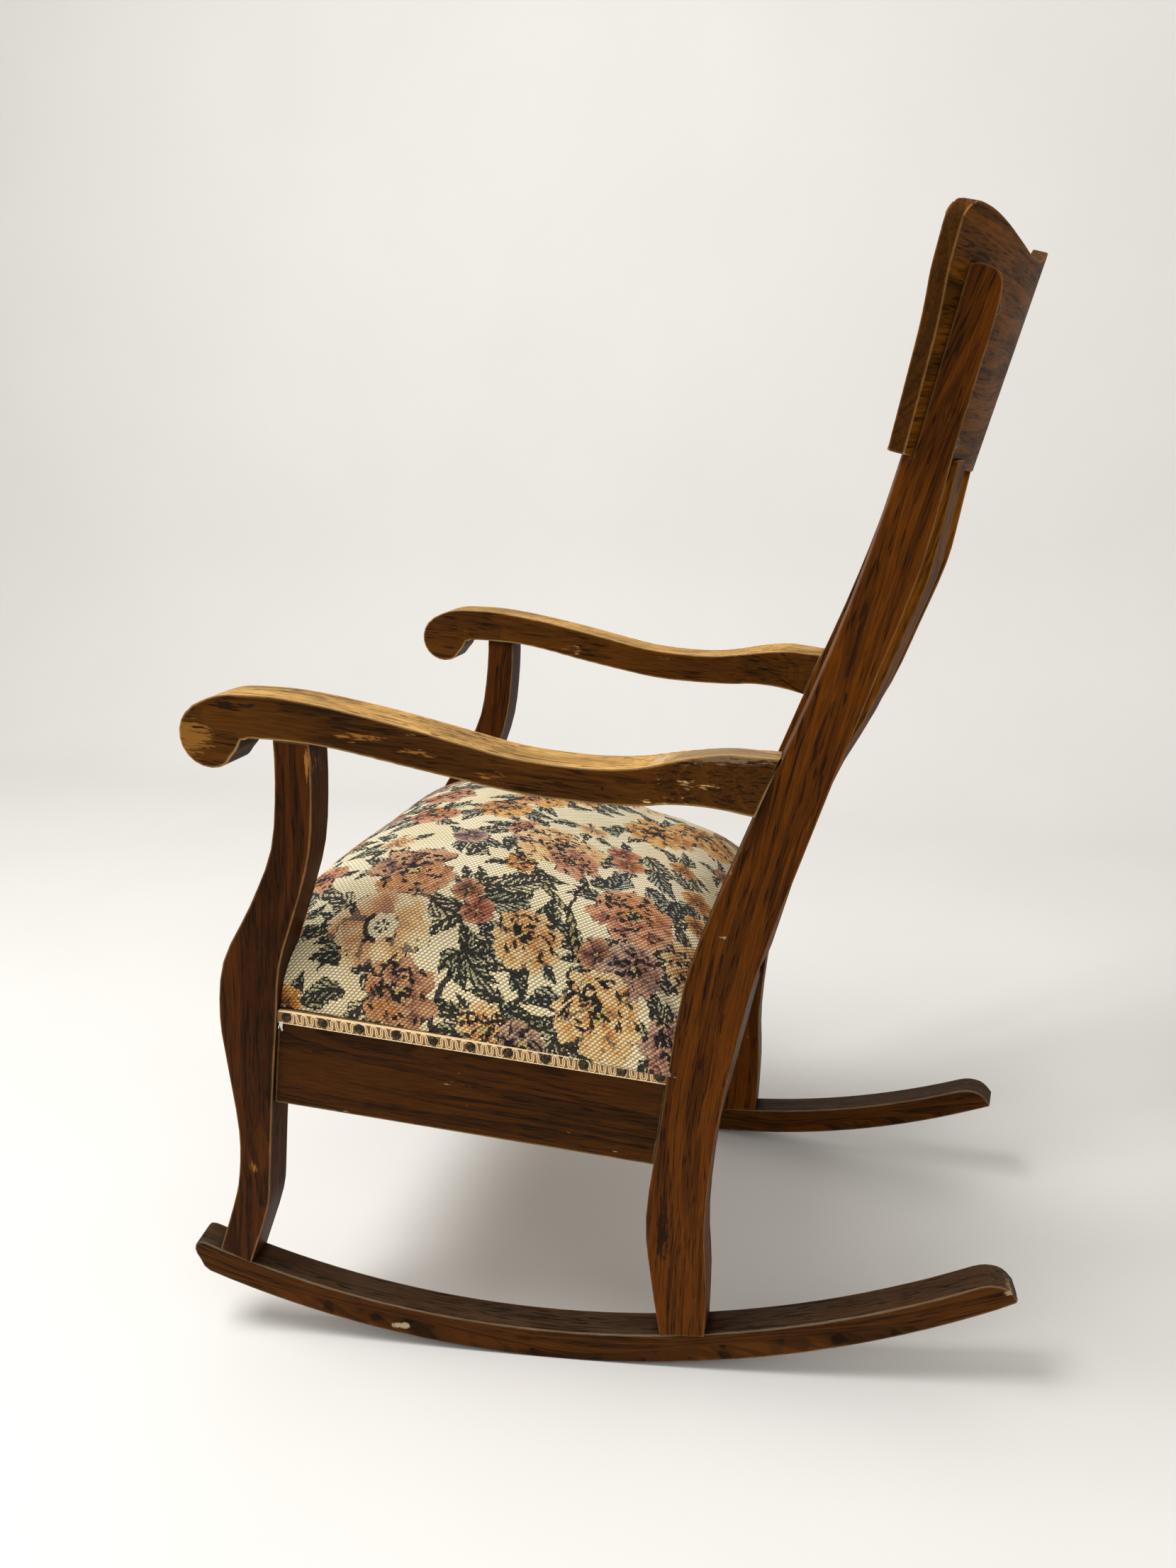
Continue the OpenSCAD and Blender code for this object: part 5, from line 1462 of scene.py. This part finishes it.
            log.info("braid %s: %d faces", name, len(mesh.polygons))

    @staticmethod
    def yarn(effects: Effects) -> tuple[Material, ...]:
        """Makes the materials of the cords, of the band behind them, dark brown as painted shade
        between the cords, and of loose threads.

        Args:
            effects: The shared effects.

        Returns:
            Cord, band and thread materials.
        """
        cord, band, loose = Paint("gimp_cord"), Paint("gimp_band"), Paint("loose_thread")
        twist = cord.noise(cord.stored("cloth"), 900.0, 900.0)
        weave = band.placed(effects.weave, Place=band.stored("cloth"), Column=0.0008, Row=0.0009,
                            Slant=0.0)
        fuzz = loose.noise(loose.stored("cloth"), 700.0, 700.0)
        return (
            cord.finish(Base_Color=cord.blend(twist, dye(222, 186, 130), dye(250, 226, 178)),
                        Roughness=0.5, Sheen_Weight=0.1, Normal=cord.bump(twist, 0.3, 0.0002)),
            # The band is dark brown: painted shade seen in the gaps between the pale cords.
            band.finish(Base_Color=band.blend(weave["Thread"], dye(84, 56, 26), dye(168, 122, 68)),
                        Roughness=0.8, Normal=band.bump(weave["Height"], 0.3, 0.0002)),
            loose.finish(Base_Color=loose.blend(fuzz, dye(196, 188, 170), dye(240, 236, 226)),
                         Roughness=0.8))


@dataclass
class Underside:
    """Burlap, webbing, springs and the other hidden pieces of the seat."""

    steps: int = 48
    dip: float = 0.0012
    lift: float = 0.0008
    front_half: float = 0.2835
    taper: float = 0.0305

    def burlap(self, effects: Effects) -> None:
        """Builds the burlap over the springs as a stretched sheet.

        Args:
            effects: The shared effects.
        """
        low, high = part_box("spring_burlap")
        cos = math.cos(SLOPE)
        front, rear = (low.y + CONTACT_SHIFT) / cos, (high.y + CONTACT_SHIFT) / cos
        share, down = np.meshgrid(np.linspace(-1, 1, self.steps),
                                  np.linspace(front, rear, self.steps), indexing="ij")
        half = self.front_half - self.taper * (down - front) / (rear - front)
        wave = np.cos(share * 7.0) * np.cos((down - front) / (rear - front) * 9.0)
        sag = self.lift - self.dip * wave * 0.5
        points = Cushion.in_row(np.stack([share * half, down, sag], -1))
        faces = grid_faces(self.steps - 1, self.steps - 1).tolist()
        piece = put(shaped("burlap_sheet", points, faces),
                    self.jute("burlap_cloth", effects, 0.0022, dye(176, 142, 92)))
        stand_in(piece, "jute_webbing", "spring_burlap")

    @staticmethod
    def jute(name: str, effects: Effects, pitch: float, tone: Colour) -> Material:
        """Makes woven jute, with painted shade in the gaps between its threads.

        Args:
            name: The material's name.
            effects: The shared effects.
            pitch: The distance between threads.
            tone: Its colour.

        Returns:
            The material.
        """
        p = Paint(name)
        place = p.where()
        weave = p.placed(effects.weave, Place=place, Column=pitch, Row=pitch * 0.9, Slant=0.0)
        fuzz = p.ramp(p.noise(place, 260.0, 260.0, 3.0, 0.6), 0.35, 0.75, 0.0, 0.5)
        # The gaps between threads are darkened: painted shade.
        colour = p.blend(weave["Thread"], tuple(c * 0.32 for c in tone), tone)
        return p.finish(Base_Color=p.blend(fuzz, colour, tuple(c * 0.6 for c in tone)),
                        Roughness=0.92, Normal=p.bump(weave["Height"], 0.6, 0.0006))

    @staticmethod
    def metal(name: str, tone: Colour, bright: Colour, rough: float, hammered: float) -> Material:
        """Makes a dull old metal.

        Args:
            name: The material's name.
            tone: Its tarnished colour.
            bright: Its colour where it is rubbed.
            rough: Its roughness.
            hammered: How deep its hammer marks are.

        Returns:
            The material.
        """
        p = Paint(name)
        place = p.where()
        feeds = {"Vector": place, "Scale": 380.0}
        marks = p.node("TexVoronoi", "Distance", feeds, feature="SMOOTH_F1")
        stain = p.noise(place, 300.0, 300.0, 3.0, 0.6)
        return p.finish(Base_Color=p.blend(p.ramp(stain, 0.4, 0.75), tone, bright), Metallic=0.75,
                        Roughness=stain * 0.25 + (rough - 0.1),
                        Normal=p.bump(marks, hammered, 0.0012))

    @staticmethod
    def raw_wood(effects: Effects) -> Material:
        """Makes the bare hardwood of blocks and dowels.

        Args:
            effects: The shared effects.

        Returns:
            The material.
        """
        p = Paint("bare_hardwood")
        grain = p.placed(effects.grain, Place=p.where(), Pitch=0.003, Heart=0.05, Wander=0.01)
        colour = p.blend(p.ramp(grain["Fibres"], 0.3, 0.7), dye(186, 148, 98), dye(150, 112, 68))
        return p.finish(Base_Color=p.blend(grain["Pores"] * 0.6, colour, dye(96, 66, 38)),
                        Roughness=0.7, Normal=p.bump(grain["Fibres"], 0.3, 0.0003))

    def build(self, nodes: Nodes, effects: Effects) -> None:
        """Builds the burlap and dresses the solids that stay.

        Args:
            nodes: The CAD nodes.
            effects: The shared effects.
        """
        self.burlap(effects)
        dressed = (
            (self.jute("jute_webbing", effects, 0.0026, dye(188, 156, 106)),
             "lengthwise_webbing crosswise_webbing"),
            (self.raw_wood(effects),
             "front_left_corner_block front_right_corner_block rear_left_corner_block "
             "rear_right_corner_block rocker_dowels arm_dowels seat_rail_dowels"),
            (self.metal("dark_screw_steel", dye(46, 40, 34), dye(120, 104, 84), 0.5, 0.1),
             "crest_screws arm_screws corner_block_screws webbing_tacks"),
            (self.metal("spring_wire", dye(96, 92, 86), dye(150, 146, 138), 0.42, 0.08),
             "seat_springs"),
            (self.metal("hammered_nail", dye(40, 31, 22), dye(96, 80, 58), 0.40, 0.9),
             "left_gimp_nails right_gimp_nails front_gimp_nails rear_gimp_nails"))
        for paint, names in dressed:
            for name in names.split():
                nodes[name].data.materials.clear()
                nodes[name].data.materials.append(paint)
                log.info("dressed %s in %s", name, paint.name)


@dataclass(frozen=True)
class PhotoCamera:
    """The camera that the photograph was taken with, solved from the chair's own edges."""

    focal_px: float = 1812.28
    image_height: int = 2212
    sensor_mm: float = 36.0
    yaw: float = 0.233859
    pitch: float = 0.256781
    roll: float = 0.0023575
    place: Triple = (1.24482, 0.23577, 0.83193)

    def build(self) -> None:
        """Creates the camera and makes it the scene's own."""
        ahead = Vector((-math.cos(self.pitch) * math.cos(self.yaw),
                        -math.cos(self.pitch) * math.sin(self.yaw), -math.sin(self.pitch)))
        right = ahead.cross(Vector((0.0, 0.0, 1.0))).normalized()
        over = right.cross(ahead)
        side = right * math.cos(self.roll) + over * math.sin(self.roll)
        rise = over * math.cos(self.roll) - right * math.sin(self.roll)
        data = bpy.data.cameras.new("photo_camera")
        data.sensor_width = self.sensor_mm
        data.sensor_fit = "AUTO"
        data.lens = self.sensor_mm * self.focal_px / self.image_height
        camera = bpy.data.objects.new("photo_camera", data)
        bpy.context.scene.collection.objects.link(camera)
        rows = [(side[i], rise[i], -ahead[i], self.place[i]) for i in range(3)]
        camera.matrix_world = Matrix((*rows, (0.0, 0.0, 0.0, 1.0)))
        bpy.context.scene.camera = camera


@dataclass
class Studio:
    """A pale floor and wall, a soft sky and two soft lamps."""

    half_width: float = 9.0
    wall_distance: float = 1.6
    wall_height: float = 4.0
    bend: float = 0.6
    bend_steps: int = 12
    sky: float = 0.55
    aim: Triple = (0.0, 0.0, 0.45)

    def build(self) -> None:
        """Builds the floor with its curved wall, the world and the lamps."""
        profile = [(self.half_width, 0.0)]
        for step in range(self.bend_steps + 1):
            angle = math.pi / 2 * step / self.bend_steps
            profile.append((-self.wall_distance - self.bend * math.sin(angle),
                            self.bend * (1.0 - math.cos(angle))))
        profile.append((-self.wall_distance - self.bend, self.wall_height))
        points = np.array([(x, side * self.half_width, z) for x, z in profile for side in (-1, 1)])
        faces = [(2 * i, 2 * i + 1, 2 * i + 3, 2 * i + 2) for i in range(len(profile) - 1)]
        paper = Paint("studio_paper")
        speck = paper.blend(paper.noise(paper.where(), 3.0, 3.0), dye(228, 226, 222),
                            dye(234, 232, 228))
        floor = put(shaped("studio_floor", points, faces),
                    paper.finish(Base_Color=speck, Roughness=0.7))
        world = bpy.data.worlds.new("studio_sky")
        world.use_nodes = True
        background = world.node_tree.nodes["Background"].inputs
        background["Color"].default_value = (1.0, 0.98, 0.95, 1.0)
        background["Strength"].default_value = self.sky
        bpy.context.scene.world = world
        self.lamp("ceiling_lamp", (0.9, -1.3, 2.9), 1.4, 82.0)
        self.lamp("fill_lamp", (2.4, 1.2, 1.6), 2.0, 12.0)

    def lamp(self, name: str, place: Triple, size: float, watts: float) -> None:
        """Adds a square soft lamp that faces the chair.

        Args:
            name: The lamp's name.
            place: Where it hangs, in metres.
            size: Its side, in metres.
            watts: Its power.
        """
        data = bpy.data.lights.new(name, "AREA")
        data.size = size
        data.energy = watts
        lamp = bpy.data.objects.new(name, data)
        lamp.location = place
        lamp.rotation_euler = (Vector(self.aim) - Vector(place)).to_track_quat("-Z", "Y").to_euler()
        bpy.context.scene.collection.objects.link(lamp)


def oak_finishes() -> list[OakFinish]:
    """Lists the finishes of the oak.

    Returns:
        One finish for each kind of board.
    """
    scuff, stain, pale = dye(160, 104, 48), dye(30, 18, 8), dye(190, 168, 136)
    rocker_marks = (
        Patch((0.262, -0.178, 0.022), (0.04, 0.014, 0.006), pale, 0.25),
        Patch((0.262, -0.360, 0.085), (0.04, 0.020, 0.016), pale, 0.1),
        Patch((0.190, 0.372, 0.108), (0.04, 0.012, 0.006), dye(180, 144, 100), 0.2))
    front_post_marks = (
        Patch((0.307, -0.224, 0.580), (0.05, 0.006, 0.030), scuff, 0.22),
        Patch((0.265, -0.309, 0.186), (0.05, 0.008, 0.012), scuff, 0.3),
        Patch((0.262, -0.336, 0.149), (0.05, 0.005, 0.006), stain, 0.4))
    back_post_marks = (
        Patch((0.240, 0.067, 0.152), (0.06, 0.010, 0.050), stain, 0.3, 0.92),
        Patch((0.277, 0.116, 0.448), (0.05, 0.010, 0.003), pale, 0.2, 0.6))
    arm_marks = (
        Patch((0.309, -0.177, 0.606), (0.03, 0.044, 0.007), scuff, 0.18, 0.7),
        Patch((0.305, -0.127, 0.596), (0.03, 0.032, 0.006), scuff, 0.18, 0.7),
        Patch((0.300, -0.064, 0.580), (0.03, 0.036, 0.009), scuff, 0.18, 0.7),
        Patch((0.309, -0.325, 0.598), (0.03, 0.028, 0.026), dye(142, 96, 40), 0.3, 0.75),
        Patch((0.309, -0.289, 0.626), (0.03, 0.034, 0.006), stain, 0.3, 0.95),
        # Darker rear part of the arm's side: stain, and painted shade where the arm turns towards the
        # back post.
        Patch((0.275, 0.100, 0.573), (0.05, 0.070, 0.028), stain, 0.22, 0.8),
        Patch((0.287, 0.066, 0.577), (0.02, 0.021, 0.024), dye(52, 34, 18), 0.5, 0.85),
        Patch((0.275, 0.100, 0.604), (0.05, 0.095, 0.010), dye(128, 106, 82), 0.4, 0.75),
        Patch((0.293, 0.024, 0.576), (0.02, 0.0032, 0.0026), dye(10, 7, 4), 0.9, 1.0),
        Patch((0.285, 0.062, 0.597), (0.03, 0.055, 0.003), pale, 0.25, 0.9),
        Patch((0.285, 0.076, 0.566), (0.03, 0.028, 0.002), pale, 0.2, 0.7))
    rail_chips = tuple(Patch(place, (0.03, 0.040, 0.0065), pale, 0.17) for place in (
        (0.289, -0.2258, 0.250), (0.285, -0.1669, 0.2423), (0.281, -0.102, 0.2377),
        (0.270, 0.0237, 0.2296)))
    return [
        # The rocker's grey film on upward faces: dust, and a painted blue-grey sheen from above.
        OakFinish("rocker_oak", dye(84, 46, 9), dye(38, 20, 4), dye(16, 9, 2),
                  wear_and_highlight=dye(168, 146, 118), sheen_and_dust_film=dye(74, 60, 46), edge=0.5, dust=0.8, wander=0.03,
                  pitch=0.0028, patches=rocker_marks),
        OakFinish("front_post_oak", dye(77, 38, 5), dye(44, 20, 2), dye(20, 10, 2),
                  wear_and_highlight=dye(186, 140, 90), edge=0.5, heart=0.09, pitch=0.0026, figure=0.5,
                  cloud=0.5, patches=front_post_marks),
        OakFinish("back_post_oak", dye(99, 51, 3), dye(56, 26, 2), dye(22, 10, 2), edge=0.25,
                  heart=0.05, pitch=0.0045, cloud=0.55, patches=back_post_marks),
        # The arm's honey film on upward faces: a painted highlight of the light from above, with
        # wear.
        OakFinish("arm_oak", dye(88, 50, 8), dye(47, 25, 4), dye(20, 11, 3),
                  wear_and_highlight=dye(216, 174, 112), sheen_and_dust_film=dye(208, 162, 92), edge=0.62, rub=0.05, dust=1.1,
                  heart=0.07, figure=0.25, patches=arm_marks),
        OakFinish("rail_oak", dye(74, 39, 4), dye(36, 18, 2), dye(16, 8, 2),
                  wear_and_highlight=dye(200, 166, 118), edge=0.6, wander=0.035, rough=0.44,
                  patches=rail_chips),
        OakFinish("back_oak", dye(108, 62, 10), dye(58, 33, 5), dye(22, 12, 3), edge=0.35,
                  heart=0.04, gloss=0.03, rough=0.55,
                  patches=(Patch((0.349, 0.186, 0.862), (0.05, 0.010, 0.022), pale, 0.15),)),
    ]


def main() -> None:
    """Builds the camera, the studio and every sub-assembly of the chair."""
    logging.basicConfig(level=logging.INFO, format="%(message)s")
    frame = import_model()
    bpy.context.scene.view_settings.view_transform = "Standard"
    PhotoCamera().build()
    Studio().build()
    effects = Effects()
    finishes = {finish.name: finish.build(effects) for finish in oak_finishes()}
    OakFrame().build(frame["nodes"], finishes)
    Cushion().build(effects)
    Gimp().build(frame["nodes"], effects)
    Underside().build(frame["nodes"], effects)


if __name__ == "__main__":
    main()
